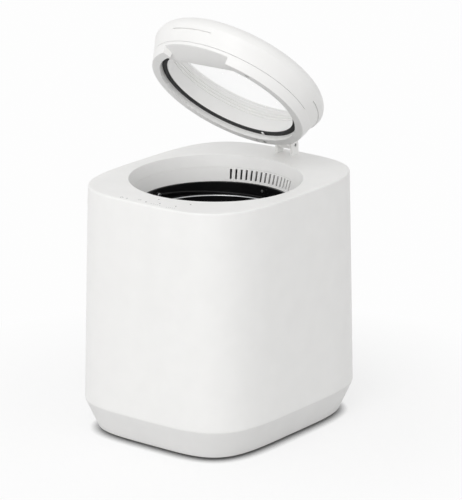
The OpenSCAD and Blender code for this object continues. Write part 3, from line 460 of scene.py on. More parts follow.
def block(name: str, low: Sequence[float], high: Sequence[float], edge: float = 0.0) -> bpy.types.Object:
    """A box between two corners.

    Args:
        name: the piece's name.
        low: the lowest corner.
        high: the highest corner.
        edge: width of the rounding of its edges.

    Returns:
        The piece.
    """
    a, b = Vector(low) * MM, Vector(high) * MM
    bpy.ops.object.select_all(action="DESELECT")
    bpy.ops.mesh.primitive_cube_add(size=1, location=(a + b) / 2, scale=b - a)
    piece = settle(started(name))
    if edge > 0:
        break_edges(piece, edge, segments=3)
    return piece


def rod(
    name: str, start: Vector, end: Vector, radius: float, steps: int = 48, edge: float = 0.0
) -> bpy.types.Object:
    """A round bar between two points.

    Args:
        name: the piece's name.
        start: the middle of one end.
        end: the middle of the other end.
        radius: the bar's radius.
        steps: number of facets around it.
        edge: width of the rounding of its ends.

    Returns:
        The piece.
    """
    axis = end - start
    bpy.ops.object.select_all(action="DESELECT")
    bpy.ops.mesh.primitive_cylinder_add(
        vertices=steps, radius=radius * MM, depth=axis.length * MM, location=(start + end) / 2 * MM,
        rotation=axis.to_track_quat("Z", "Y").to_euler(),
    )
    piece = settle(started(name))
    if edge > 0:
        break_edges(piece, edge)
    return piece


def post(name: str, at: Point, low: float, high: float, radius: float, steps: int = 48) -> bpy.types.Object:
    """An upright round bar at a place, from one height to another."""
    return rod(name, Vector((*at, low)), Vector((*at, high)), radius, steps)


def copy_of_node(node: str, name: str, edge: float) -> bpy.types.Object:
    """A merged copy of a frame node, with its edges broken as on the moulded piece.

    Args:
        node: the frame node's name.
        name: the copy's name.
        edge: width of the rounding, in mm.

    Returns:
        The copy.
    """
    source = frame["nodes"][node]
    piece = bpy.data.objects.new(name, source.data.copy())
    bpy.context.scene.collection.objects.link(piece)
    piece.data.name = name
    with editing(piece):
        bpy.ops.mesh.remove_doubles(threshold=10 * WELD)
        bpy.ops.mesh.tris_convert_to_quads(face_threshold=FLAT, shape_threshold=math.pi)
        bpy.ops.mesh.dissolve_limited(angle_limit=FLAT)
    break_edges(piece, edge, angle=40)
    return piece


# Finishes

FINISHES: dict[Slot, bpy.types.Material] = {}
DUST_COLOUR: Colour = (0.5, 0.47, 0.43, 1)


@dataclass
class Wiring:
    """A node tree that is being wired."""

    tree: bpy.types.NodeTree

    def add(self, kind: str, settings: dict | None = None, **inputs: object) -> bpy.types.Node:
        """Adds a node.

        Args:
            kind: the node's type.
            settings: values of the node itself.
            inputs: a value or another node's output for each input, by its name with _ for a space.

        Returns:
            The node.
        """
        node = self.tree.nodes.new(kind)
        for name, value in (settings or {}).items():
            setattr(node, name, value)
        for name, value in inputs.items():
            self.feed(node.inputs[name.replace("_", " ")], value)
        return node

    def filled(self, kind: str, settings: dict, *values: object) -> bpy.types.Node:
        """Adds a node and fills its inputs in their order.

        Args:
            kind: the node's type.
            settings: values of the node itself.
            values: a value or another node's output for each of the first inputs.

        Returns:
            The node.
        """
        node = self.add(kind, settings)
        for socket, value in zip(node.inputs, values):
            self.feed(socket, value)
        return node

    def feed(self, socket: bpy.types.NodeSocket, value: object) -> None:
        """Links an output to an input, or sets the input's own value.

        Args:
            socket: the input.
            value: another node's output, or the value.
        """
        if isinstance(value, bpy.types.NodeSocket):
            self.tree.links.new(value, socket)
        else:
            socket.default_value = value

    def math(self, operation: str, a: object, b: object) -> bpy.types.NodeSocket:
        """The result of a sum on two numbers."""
        return self.filled("ShaderNodeMath", {"operation": operation}, a, b).outputs[0]

    def dot(self, a: object, b: object) -> bpy.types.NodeSocket:
        """How far two directions agree: 1 where they are the same."""
        return self.filled("ShaderNodeVectorMath", {"operation": "DOT_PRODUCT"}, a, b).outputs["Value"]

    def spread(
        self, value: object, from_low: float, from_high: float, low: float = 0.0, high: float = 1.0
    ) -> bpy.types.NodeSocket:
        """A number moved from one range to another, and held inside it."""
        numbers = (value, from_low, from_high, low, high)
        return self.filled("ShaderNodeMapRange", {"clamp": True}, *numbers).outputs[0]

    def blend(self, share: object, a: object, b: object) -> bpy.types.NodeSocket:
        """Two colours mixed.

        Args:
            share: how much of the second colour there is, from 0 to 1.
            a: the first colour.
            b: the second colour.

        Returns:
            The mixed colour.
        """
        node = self.add("ShaderNodeMix", {"data_type": "RGBA"})
        for k, value in ((0, share), (6, a), (7, b)):
            self.feed(node.inputs[k], value)
        return node.outputs[2]

    def noise(self, place: object, scale: object, detail: float, rough: float = 0.5) -> bpy.types.NodeSocket:
        """A noise pattern's value at a place."""
        inputs = {"Vector": place, "Scale": scale, "Detail": detail, "Roughness": rough}
        return self.add("ShaderNodeTexNoise", **inputs).outputs[0]

    def bump(self, strength: float, distance: float, height: object) -> bpy.types.NodeSocket:
        """The normal of a surface that a height pattern raises."""
        return self.add("ShaderNodeBump", Strength=strength, Distance=distance, Height=height).outputs[0]

    def place(self, stretch: Sequence[float] = (1, 1, 1)) -> bpy.types.NodeSocket:
        """Object coordinates, stretched by a factor along each axis."""
        coordinates = self.add("ShaderNodeTexCoord").outputs["Object"]
        return self.add("ShaderNodeMapping", Vector=coordinates, Scale=stretch).outputs[0]


@dataclass(frozen=True)
class Effect:
    """A surface effect that several finishes share, as a group of nodes with named sockets."""

    name: str
    inputs: dict[str, tuple[str, object]]
    outputs: dict[str, str]
    wire: Callable[[Wiring, dict, dict], None]

    def group(self) -> bpy.types.NodeTree:
        """The group, built at its first use.

        Returns:
            The node group.
        """
        if self.name in bpy.data.node_groups:
            return bpy.data.node_groups[self.name]
        tree = bpy.data.node_groups.new(self.name, "ShaderNodeTree")
        for name, (kind, value) in self.inputs.items():
            socket = tree.interface.new_socket(name=name, in_out="INPUT", socket_type=kind)
            if value is not None:
                socket.default_value = value
        for name, kind in self.outputs.items():
            tree.interface.new_socket(name=name, in_out="OUTPUT", socket_type=kind)
        wiring = Wiring(tree)
        given = wiring.add("NodeGroupInput").outputs
        wanted = wiring.add("NodeGroupOutput").inputs
        self.wire(wiring, given, wanted)
        return tree

    def placed(self, wiring: Wiring, **inputs: object) -> bpy.types.bpy_prop_collection:
        """Puts the effect into a material.

        Args:
            wiring: the material's node tree.
            inputs: values or outputs for the group's inputs.

        Returns:
            The group's outputs.
        """
        return wiring.add("ShaderNodeGroup", {"node_tree": self.group()}, **inputs).outputs


def wire_grain(wiring: Wiring, given: dict, wanted: dict) -> None:
    """Fine pebbles over a slow waviness, as on a moulded surface.

    Args:
        wiring: the group's node tree.
        given: the group's inputs.
        wanted: the group's outputs.
    """
    place, scale = given["Vector"], given["Scale"]
    cells = wiring.add("ShaderNodeTexVoronoi", {"feature": "SMOOTH_F1"}, Vector=place, Scale=scale)
    wave = wiring.noise(place, wiring.math("MULTIPLY", scale, 0.012), 3.0)
    wiring.feed(wanted["Height"], cells.outputs["Distance"])
    wiring.feed(wanted["Mottle"], wiring.spread(wave, 0.3, 0.7))


def wire_wear(wiring: Wiring, given: dict, wanted: dict) -> None:
    """A mask that is 1 where an edge has been rubbed.

    Args:
        wiring: the group's node tree.
        given: the group's inputs.
        wanted: the group's outputs.
    """
    soft = wiring.add("ShaderNodeBevel", {"samples": 4}, Radius=given["Width"]).outputs[0]
    flat = wiring.add("ShaderNodeNewGeometry").outputs["Normal"]
    edge = wiring.spread(wiring.dot(soft, flat), 0.995, 0.93)
    patches = wiring.spread(wiring.noise(given["Vector"], 60.0, 3.0), 0.42, 0.62)
    wiring.feed(wanted["Mask"], wiring.math("MULTIPLY", edge, patches))


def wire_dust(wiring: Wiring, given: dict, wanted: dict) -> None:
    """A mask of the fine dust that settles on faces that look up.

    Args:
        wiring: the group's node tree.
        given: the group's inputs.
        wanted: the group's outputs.
    """
    normal = wiring.add("ShaderNodeNewGeometry").outputs["Normal"]
    up = wiring.add("ShaderNodeSeparateXYZ", Vector=normal).outputs[2]
    patches = wiring.spread(wiring.noise(given["Vector"], 35.0, 5.0, 0.6), 0.45, 0.75)
    settled = wiring.math("MULTIPLY", wiring.spread(up, 0.4, 1.0), patches)
    wiring.feed(wanted["Mask"], wiring.math("MULTIPLY", settled, given["Amount"]))


GRAIN = Effect(
    "Moulded grain",
    {"Vector": ("NodeSocketVector", None), "Scale": ("NodeSocketFloat", 3000.0)},
    {"Height": "NodeSocketFloat", "Mottle": "NodeSocketFloat"},
    wire_grain,
)
WEAR = Effect(
    "Edge wear",
    {"Vector": ("NodeSocketVector", None), "Width": ("NodeSocketFloat", 0.0006)},
    {"Mask": "NodeSocketFloat"},
    wire_wear,
)
DUST = Effect(
    "Settled dust",
    {"Vector": ("NodeSocketVector", None), "Amount": ("NodeSocketFloat", 0.1)},
    {"Mask": "NodeSocketFloat"},
    wire_dust,
)


@dataclass(frozen=True)
class Finish:
    """What every finish has: its slot, its colour in linear light and its gloss."""

    slot: Slot
    colour: tuple[float, float, float]
    roughness: float = 0.4

    def material(self) -> bpy.types.Material:
        """Builds the finish and files it under its slot.

        Returns:
            The material.
        """
        made = bpy.data.materials.new(self.slot.value)
        made.use_nodes = True
        made.diffuse_color = (*self.colour, 1)
        wiring = Wiring(made.node_tree)
        surface = made.node_tree.nodes["Principled BSDF"]
        surface.inputs["Roughness"].default_value = self.roughness
        surface.inputs["Base Color"].default_value = (*self.colour, 1)
        self.wire(wiring, surface.inputs)
        FINISHES[self.slot] = made
        return made

    def shade(self, factor: float) -> tuple[float, float, float, float]:
        """The finish's colour made lighter or darker by a factor."""
        return (*(min(1.0, c * factor) for c in self.colour), 1.0)

    def wire(self, wiring: Wiring, surface: bpy.types.bpy_prop_collection) -> None:
        """Wires the finish's own pattern into the shader's inputs.

        Args:
            wiring: the material's node tree.
            surface: the shader's inputs.
        """
        raise NotImplementedError


@dataclass(frozen=True)
class Moulded(Finish):
    """Injection-moulded plastic with a fine grain, faint sink mottling and rubbed edges."""

    grain: float = 3200.0
    depth: float = 0.00001
    mottle: tuple[float, float] = (0.985, 1.006)
    wear: float = 0.25
    worn: float = 1.05
    polish: float = 0.12
    dust: float = 0.0
    coat: float = 0.0
    coat_roughness: float = 0.2

    def wire(self, wiring: Wiring, surface: bpy.types.bpy_prop_collection) -> None:
        """Grain in the bump, mottling and wear in the colour and the gloss.

        Args:
            wiring: the material's node tree.
            surface: the shader's inputs.
        """
        place = wiring.place()
        grain = GRAIN.placed(wiring, Vector=place, Scale=self.grain)
        wear = wiring.math("MULTIPLY", WEAR.placed(wiring, Vector=place)["Mask"], self.wear)
        tint = wiring.blend(grain["Mottle"], *map(self.shade, self.mottle))
        colour = wiring.blend(wear, tint, self.shade(self.worn))
        if self.dust > 0:
            settled = DUST.placed(wiring, Vector=place, Amount=self.dust)["Mask"]
            colour = wiring.blend(settled, colour, DUST_COLOUR)
        wiring.feed(surface["Base Color"], colour)
        gloss = wiring.spread(grain["Mottle"], 0.0, 1.0, self.roughness + 0.04, self.roughness - 0.03)
        rubbed = wiring.math("MULTIPLY", wear, self.polish)
        wiring.feed(surface["Roughness"], wiring.math("SUBTRACT", gloss, rubbed))
        wiring.feed(surface["Normal"], wiring.bump(0.5, self.depth, grain["Height"]))
        surface["Coat Weight"].default_value = self.coat
        surface["Coat Roughness"].default_value = self.coat_roughness


@dataclass(frozen=True)
class Metal(Finish):
    """Metal with brushed lines along one axis, fine scratches and brighter edges."""

    along: tuple[float, float, float] = (1.0, 1.0, 30.0)
    lines: float = 260.0
    contrast: float = 0.12
    worn: float = 1.25

    def wire(self, wiring: Wiring, surface: bpy.types.bpy_prop_collection) -> None:
        """Brushed lines in the gloss and the bump, cloudy tone in the colour.

        Args:
            wiring: the material's node tree.
            surface: the shader's inputs.
        """
        lines = wiring.noise(wiring.place(self.along), self.lines, 4.0, 0.6)
        cloud = wiring.noise(wiring.place(), 28.0, 3.0)
        wear = WEAR.placed(wiring, Vector=wiring.place())["Mask"]
        tone = wiring.spread(cloud, 0.35, 0.65)
        colour = wiring.blend(tone, self.shade(1 - self.contrast), self.shade(1 + self.contrast / 2))
        wiring.feed(surface["Base Color"], wiring.blend(wear, colour, self.shade(self.worn)))
        gloss = wiring.spread(lines, 0.25, 0.75, self.roughness - 0.08, self.roughness + 0.12)
        wiring.feed(surface["Roughness"], gloss)
        wiring.feed(surface["Normal"], wiring.bump(0.25, 0.00001, lines))
        surface["Metallic"].default_value = 1.0


@dataclass(frozen=True)
class Coated(Finish):
    """A dark non-stick coating with fine light flecks and rubbed edges."""

    fleck: float = 900.0
    fleck_colour: Colour = (0.04, 0.04, 0.042, 1)
    worn_colour: Colour = (0.022, 0.022, 0.023, 1)
    gloss: float = 0.2
    coat: float = 0.5
    coat_roughness: float = 0.12

    def wire(self, wiring: Wiring, surface: bpy.types.bpy_prop_collection) -> None:
        """Flecks in the colour, an orange-peel surface in the bump and the gloss.

        Args:
            wiring: the material's node tree.
            surface: the shader's inputs.
        """
        place = wiring.place()
        cells = wiring.add("ShaderNodeTexVoronoi", Vector=place, Scale=self.fleck).outputs["Distance"]
        flecks = wiring.spread(cells, 0.1, 0.16, 1.0, 0.0)
        sparse = wiring.spread(wiring.noise(place, self.fleck / 3, 1.0), 0.52, 0.6, 0.0, 0.5)
        seen = wiring.math("MULTIPLY", flecks, sparse)
        colour = wiring.blend(seen, (*self.colour, 1), self.fleck_colour)
        wear = WEAR.placed(wiring, Vector=place)["Mask"]
        wiring.feed(surface["Base Color"], wiring.blend(wear, colour, self.worn_colour))
        haze = wiring.noise(place, 14.0, 4.0)
        gloss = wiring.spread(haze, 0.35, 0.65, self.roughness - 0.05, self.roughness + 0.08)
        wiring.feed(surface["Roughness"], gloss)
        wiring.feed(surface["Normal"], wiring.bump(0.35, 0.00003, wiring.noise(place, 420.0, 2.0)))
        surface["Specular IOR Level"].default_value = self.gloss
        surface["Coat Weight"].default_value = self.coat
        surface["Coat Roughness"].default_value = self.coat_roughness


@dataclass(frozen=True)
class Clear(Finish):
    """A clear moulded window with a trace of haze."""

    ior: float = 1.2
    alpha: float = 0.1

    def wire(self, wiring: Wiring, surface: bpy.types.bpy_prop_collection) -> None:
        """Mostly see-through, with wiping marks in the gloss.

        Args:
            wiring: the material's node tree.
            surface: the shader's inputs.
        """
        smears = wiring.noise(wiring.place((1.0, 3.0, 1.0)), 30.0, 3.0)
        gloss = wiring.spread(smears, 0.4, 0.7, self.roughness, self.roughness + 0.05)
        wiring.feed(surface["Roughness"], gloss)
        surface["Transmission Weight"].default_value = 1.0
        surface["IOR"].default_value = self.ior
        surface["Alpha"].default_value = self.alpha


@dataclass(frozen=True)
class Fibre(Finish):
    """Pressed felt: matted fibres of mixed tones."""

    def wire(self, wiring: Wiring, surface: bpy.types.bpy_prop_collection) -> None:
        """Crossed, stretched noise for the fibres.

        Args:
            wiring: the material's node tree.
            surface: the shader's inputs.
        """
        lying = wiring.noise(wiring.place((1.0, 1.0, 9.0)), 420.0, 4.0, 0.7)
        standing = wiring.noise(wiring.place((7.0, 7.0, 1.0)), 300.0, 4.0, 0.7)
        mat = wiring.math("MAXIMUM", lying, standing)
        tone = wiring.spread(mat, 0.4, 0.75)
        wiring.feed(surface["Base Color"], wiring.blend(tone, self.shade(0.75), self.shade(1.08)))
        wiring.feed(surface["Normal"], wiring.bump(0.7, 0.0004, mat))


@dataclass(frozen=True)
class CircuitBoard(Finish):
    """A lacquered board with tracks and solder dots."""

    solder_colour: Colour = (0.62, 0.6, 0.56, 1)
    solder_roughness: float = 0.25

    def wire(self, wiring: Wiring, surface: bpy.types.bpy_prop_collection) -> None:
        """Brick courses serve as tracks, and cells as solder dots.

        Args:
            wiring: the material's node tree.
            surface: the shader's inputs.
        """
        sides = wiring.add("ShaderNodeSeparateXYZ", Vector=wiring.place()).outputs
        flat = wiring.add("ShaderNodeCombineXYZ", X=sides[0], Y=sides[2]).outputs[0]
        tracks = wiring.add(
            "ShaderNodeTexBrick", {"offset": 0.37}, Vector=flat, Scale=110.0, Mortar_Size=0.012,
            Brick_Width=1.4, Row_Height=0.3,
        ).outputs["Fac"]
        dots = wiring.add("ShaderNodeTexVoronoi", Vector=flat, Scale=220.0).outputs["Distance"]
        solder = wiring.spread(dots, 0.1, 0.13, 1.0, 0.0)
        lacquer = wiring.blend(tracks, (*self.colour, 1), self.shade(2.2))
        wiring.feed(surface["Base Color"], wiring.blend(solder, lacquer, self.solder_colour))
        wiring.feed(surface["Metallic"], wiring.math("MULTIPLY", solder, 0.9))
        gloss = wiring.spread(solder, 0.0, 1.0, self.roughness, self.solder_roughness)
        wiring.feed(surface["Roughness"], gloss)
        height = wiring.math("ADD", wiring.math("MULTIPLY", tracks, 0.3), solder)
        wiring.feed(surface["Normal"], wiring.bump(0.6, 0.0001, height))


@dataclass(frozen=True)
class Wound(Finish):
    """Lacquered copper wire wound side by side."""

    def wire(self, wiring: Wiring, surface: bpy.types.bpy_prop_collection) -> None:
        """Rings of wire in the bump and in the tone.

        Args:
            wiring: the material's node tree.
            surface: the shader's inputs.
        """
        wires = wiring.add(
            "ShaderNodeTexWave", {"wave_type": "BANDS", "bands_direction": "Z"}, Vector=wiring.place(),
            Scale=260.0, Distortion=0.6, Detail=1.0,
        ).outputs["Fac"]
        wiring.feed(surface["Base Color"], wiring.blend(wires, self.shade(0.35), (*self.colour, 1)))
        wiring.feed(surface["Normal"], wiring.bump(0.8, 0.0003, wires))
        surface["Metallic"].default_value = 1.0


@dataclass(frozen=True)
class Granules(Finish):
    """A bed of carbon granules."""

    def wire(self, wiring: Wiring, surface: bpy.types.bpy_prop_collection) -> None:
        """Rough cells of uneven tone.

        Args:
            wiring: the material's node tree.
            surface: the shader's inputs.
        """
        cells = wiring.add("ShaderNodeTexVoronoi", Vector=wiring.place(), Scale=380.0).outputs
        tone = wiring.add("ShaderNodeSeparateColor", Color=cells["Color"]).outputs[0]
        wiring.feed(surface["Base Color"], wiring.blend(tone, self.shade(0.5), self.shade(1.8)))
        gloss = wiring.spread(tone, 0.0, 1.0, self.roughness, self.roughness - 0.3)
        wiring.feed(surface["Roughness"], gloss)
        wiring.feed(surface["Normal"], wiring.bump(1.0, 0.0012, cells["Distance"]))


ALL_FINISHES: tuple[Finish, ...] = (
    Moulded(Slot.SHELL, (0.9, 0.896, 0.884), 0.42, dust=0.02),
    Moulded(Slot.SKIRT, (0.84, 0.836, 0.826), 0.45),
    Moulded(Slot.RUBBER, (0.022, 0.022, 0.023), 0.72, grain=1800.0, depth=0.00003, worn=2.2),
    Moulded(Slot.DARK, (0.036, 0.038, 0.042), 0.5, worn=1.8),
    Moulded(Slot.BLACK, (0.016, 0.016, 0.018), 0.42, worn=2.0),
    Moulded(Slot.LENS, (0.09, 0.095, 0.1), 0.2, depth=0.000002, coat=0.6),
    Moulded(Slot.GEAR, (0.76, 0.73, 0.63), 0.36, worn=1.08),
    Metal(Slot.STEEL, (0.6, 0.6, 0.61), 0.32),
    Metal(Slot.ALUMINIUM, (0.72, 0.73, 0.74), 0.38, along=(30.0, 30.0, 1.0)),
    Metal(Slot.FOIL, (0.6, 0.46, 0.32), 0.4, along=(1.0, 1.0, 14.0), contrast=0.3),
    Metal(Slot.BRASS, (0.72, 0.52, 0.24), 0.3),
    Wound(Slot.COPPER, (0.78, 0.36, 0.2), 0.35),
    Clear(Slot.WINDOW, (0.97, 0.975, 0.975), 0.02),
    Coated(Slot.BUCKET, (0.006, 0.006, 0.0065), 0.3, coat=0.12),
    Fibre(Slot.FELT, (0.7, 0.68, 0.6), 0.95),
    CircuitBoard(Slot.BOARD, (0.02, 0.1, 0.05), 0.35),
    Granules(Slot.CARBON, (0.02, 0.02, 0.021), 0.85),
)


def dress(piece: bpy.types.Object, slot: Slot, body: str, nodes: Sequence[str] = ()) -> None:
    """Gives a finished piece its material and its body.

    Args:
        piece: the piece.
        slot: the material slot that it takes.
        body: the body that it rides on.
        nodes: the frame nodes that it stands for.
    """
    piece.data.materials.clear()
    piece.data.materials.append(FINISHES[slot])
    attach(piece, body)
    if nodes:
        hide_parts(*nodes)
    log.info("%s: %d faces, %s, on %s", piece.name, len(piece.data.polygons), slot.value, body)


# The case and the base


@dataclass(frozen=True)
class CaseForm:
    """The tapering form that the case, the skirt and the drawer's face share."""

    width: float = 262.0
    depth: float = 318.0
    height: float = 329.5
    squareness: float = 3.6
    edge: float = 2.4
    wall: float = 3.0
    crease_width: float = 271.6
    crease_depth: float = 327.6
    crease_squareness: float = 4.1
    crease_z: float = 42.6
    foot_width: float = 237.4
    foot_depth: float = 293.2
    foot_squareness: float = 4.5
    foot_gap: float = 3.0
    seam: float = 0.08
    roll_reach: float = 2.6
    roll_depth: float = 0.27

    @property
    def lip_z(self) -> float:
        """Height at which the rounded edge of the deck starts."""
        return self.height - self.edge

    def rolled_in(self, z: float) -> float:
        """How far the soft roll at the crease draws the surface in at a height."""
        share = max(0.0, 1 - abs(z - self.crease_z) / self.roll_reach)
        return self.roll_depth * share**2

    def body_at(self, z: float, inset: float = 0.0) -> Outline:
        """The body's ring at a height.

        Args:
            z: the height.
            inset: how far the ring is drawn in.

        Returns:
            The ring.
        """
        t = (z - self.crease_z) / (self.lip_z - self.crease_z)
        return Outline(
            mix(self.crease_width / 2, self.width / 2 + self.edge, t) - inset,
            mix(self.crease_depth / 2, self.depth / 2 + self.edge, t) - inset,
            mix(self.crease_squareness, self.squareness, t), z,
        )

    def skirt_at(self, z: float, inset: float = 0.0) -> Outline:
        """The skirt's ring at a height.

        Args:
            z: the height.
            inset: how far the ring is drawn in.

        Returns:
            The ring.
        """
        t = (z - self.foot_gap) / (self.crease_z - self.foot_gap)
        return Outline(
            mix(self.foot_width, self.crease_width, t) / 2 - inset,
            mix(self.foot_depth, self.crease_depth, t) / 2 - inset,
            mix(self.foot_squareness, self.crease_squareness, t), z,
        )


@dataclass(frozen=True)
class Mouth:
    """The round mouth: the dish in the deck, the throat below it and the collar."""

    y: float = -8.4
    dish_r: float = 112.4
    dish_depth: float = 15.5
    dish_steepness: float = 3.0
    collar_h: float = 17.6
    collar_lean: float = 0.284
    slots: int = 15
    slot_pitch: float = 3.9
    slot_w: float = 2.75
    slot_h: float = 13.0
    slot_drop: float = 2.0

    @property
    def throat_z(self) -> float:
        """Height of the dish's lower edge."""
        return FORM.height - self.dish_depth

    @property
    def throat_r(self) -> float:
        """Radius of the dish's lower edge."""
        return self.dish_r - self.dish_depth / self.dish_steepness

    @property
    def rim_z(self) -> float:
        """Height of the bucket's rim."""
        return self.throat_z - self.collar_h

    @property
    def collar_r(self) -> float:
        """Radius of the collar's lower edge."""
        return self.throat_r - self.collar_h * self.collar_lean

    def around(self, angle: float) -> Matrix:
        """The turn about the mouth's axis, by an angle in degrees, of a shape drawn at the origin."""
        return Matrix.Translation((0, self.y * MM, 0)) @ Matrix.Rotation(math.radians(angle), 4, "Z")


FORM = CaseForm()
MOUTH = Mouth()


@dataclass(frozen=True)
class Case:
    """The one-piece body shell with its deck, dish and openings."""

    lower_edge: float = 0.12
    dish_edge: float = 0.9
    throat_edge: float = 0.4
    deck_ring: float = 12.0
    drawer_gap: float = 0.4
    inlet_gap: float = 0.2
    ear_gap: float = 0.1
    lens_r: float = 1.2
    lens_places: tuple[Point, ...] = ((124.5, -87), (138.6, -82.2), (142.2, -72.4), (129, -66))
    cut_front: float = 90.0
    cut_depth: float = 6.0

    def outer_rings(self) -> list[Outline]:
        """The rings up the outside wall and over the deck's rounded edge.

        Returns:
            The rings, from the lowest to the highest.
        """
        low, edge, reach = FORM.crease_z + FORM.seam, self.lower_edge, FORM.roll_reach
        lower = [
            FORM.body_at(low + edge * (1 - math.cos(a)), edge * (1 - math.sin(a)) + FORM.rolled_in(low))
            for a in (0.0, math.pi / 4)
        ]
        roll = [FORM.body_at(z, FORM.rolled_in(z)) for z in steps_between(low + edge, low + reach, 5)]
        wall = [FORM.body_at(z) for z in steps_between(low + 3 * reach, FORM.lip_z, 10)]
        brow = [
            Outline(FORM.width / 2 + out, FORM.depth / 2 + out, FORM.squareness, z)
            for out, z in arc((0, FORM.lip_z), FORM.edge, 0, math.pi / 2, 8)[1:]
        ]
        return lower + roll + wall + brow

    def dish_rings(self) -> list[Outline]:
        """The rings from the flat deck down into the dish and round its lower edge.

        Returns:
            The rings in order.
        """
        m, wall = MOUTH, FORM.wall
        path = rounded([
            (m.dish_r + self.deck_ring, FORM.height), (m.dish_r, FORM.height, self.dish_edge),
            (m.throat_r, m.throat_z, self.throat_edge), (m.throat_r + wall, m.throat_z),
            (m.dish_r + wall, FORM.height - wall),
        ], closed=False)
        return [Outline(r, r, 2, z, m.y) for r, z in path]

    def inner_rings(self) -> list[Outline]:
        """The rings down the inside wall to the lower edge."""
        heights = steps_between(FORM.height - FORM.wall, FORM.crease_z + FORM.seam, 4)
        return [FORM.body_at(z, FORM.wall) for z in heights]

    def opening(self, name: str, half_x: float, low: float, high: float, x: float = 0.0) -> bpy.types.Object:
        """The shape of an opening in the rear wall."""
        return block(name, (x - half_x, self.cut_front, low), (x + half_x, FORM.crease_depth, high))

    def cutters(self) -> list[bpy.types.Object]:
        """The shapes of the drawer's opening, the inlet, the grille, the hinge and the indicators.

        Returns:
            The shapes that are cut away.
        """
        drawer, rear, ears = DRAWER, REAR, HINGE
        deck, depth = FORM.height, self.cut_depth
        gap, inlet_h = self.drawer_gap, rear.inlet_h / 2 + self.inlet_gap
        tools = [
            self.opening("drawer_cut", drawer.width / 2 + gap, drawer.low - gap, drawer.high + gap),
            self.opening("inlet_cut", rear.inlet_w / 2 + self.inlet_gap, rear.inlet_z - inlet_h,
                         rear.inlet_z + inlet_h, rear.inlet_x),
        ]
        low, high = rear.fan_z - rear.grille_h / 2, rear.fan_z + rear.grille_h / 2
        for x in rear.grille_places():
            tools.append(self.opening("grille_cut", rear.grille_w / 2, low, high, x))
        for side in (-1, 1):
            middle = side * (ears.ear_x + ears.ear_t / 2)
            half = ears.ear_t / 2 + self.ear_gap / 2
            reach = ears.ear_half + self.ear_gap / 2
            tools.append(block("ear_cut", (middle - half, ears.y - reach, deck - depth),
                               (middle + half, ears.y + reach, deck + depth)))
        for reach, angle in self.lens_places:
            a = math.radians(angle)
            place = (reach * math.cos(a), MOUTH.y + reach * math.sin(a))
            tools.append(post("lens_cut", place, deck - depth, deck + depth / 2, self.lens_r, 24))
        return tools

    def build(self) -> None:
        """Builds the shell and dresses it."""
        rings = self.outer_rings() + self.dish_rings() + self.inner_rings()
        shell = ring_stack("case_shell", rings, Ends.BRIDGED)
        carve(shell, self.cutters())
        dress(smooth(shell), Slot.SHELL, "body", ["body_shell"])


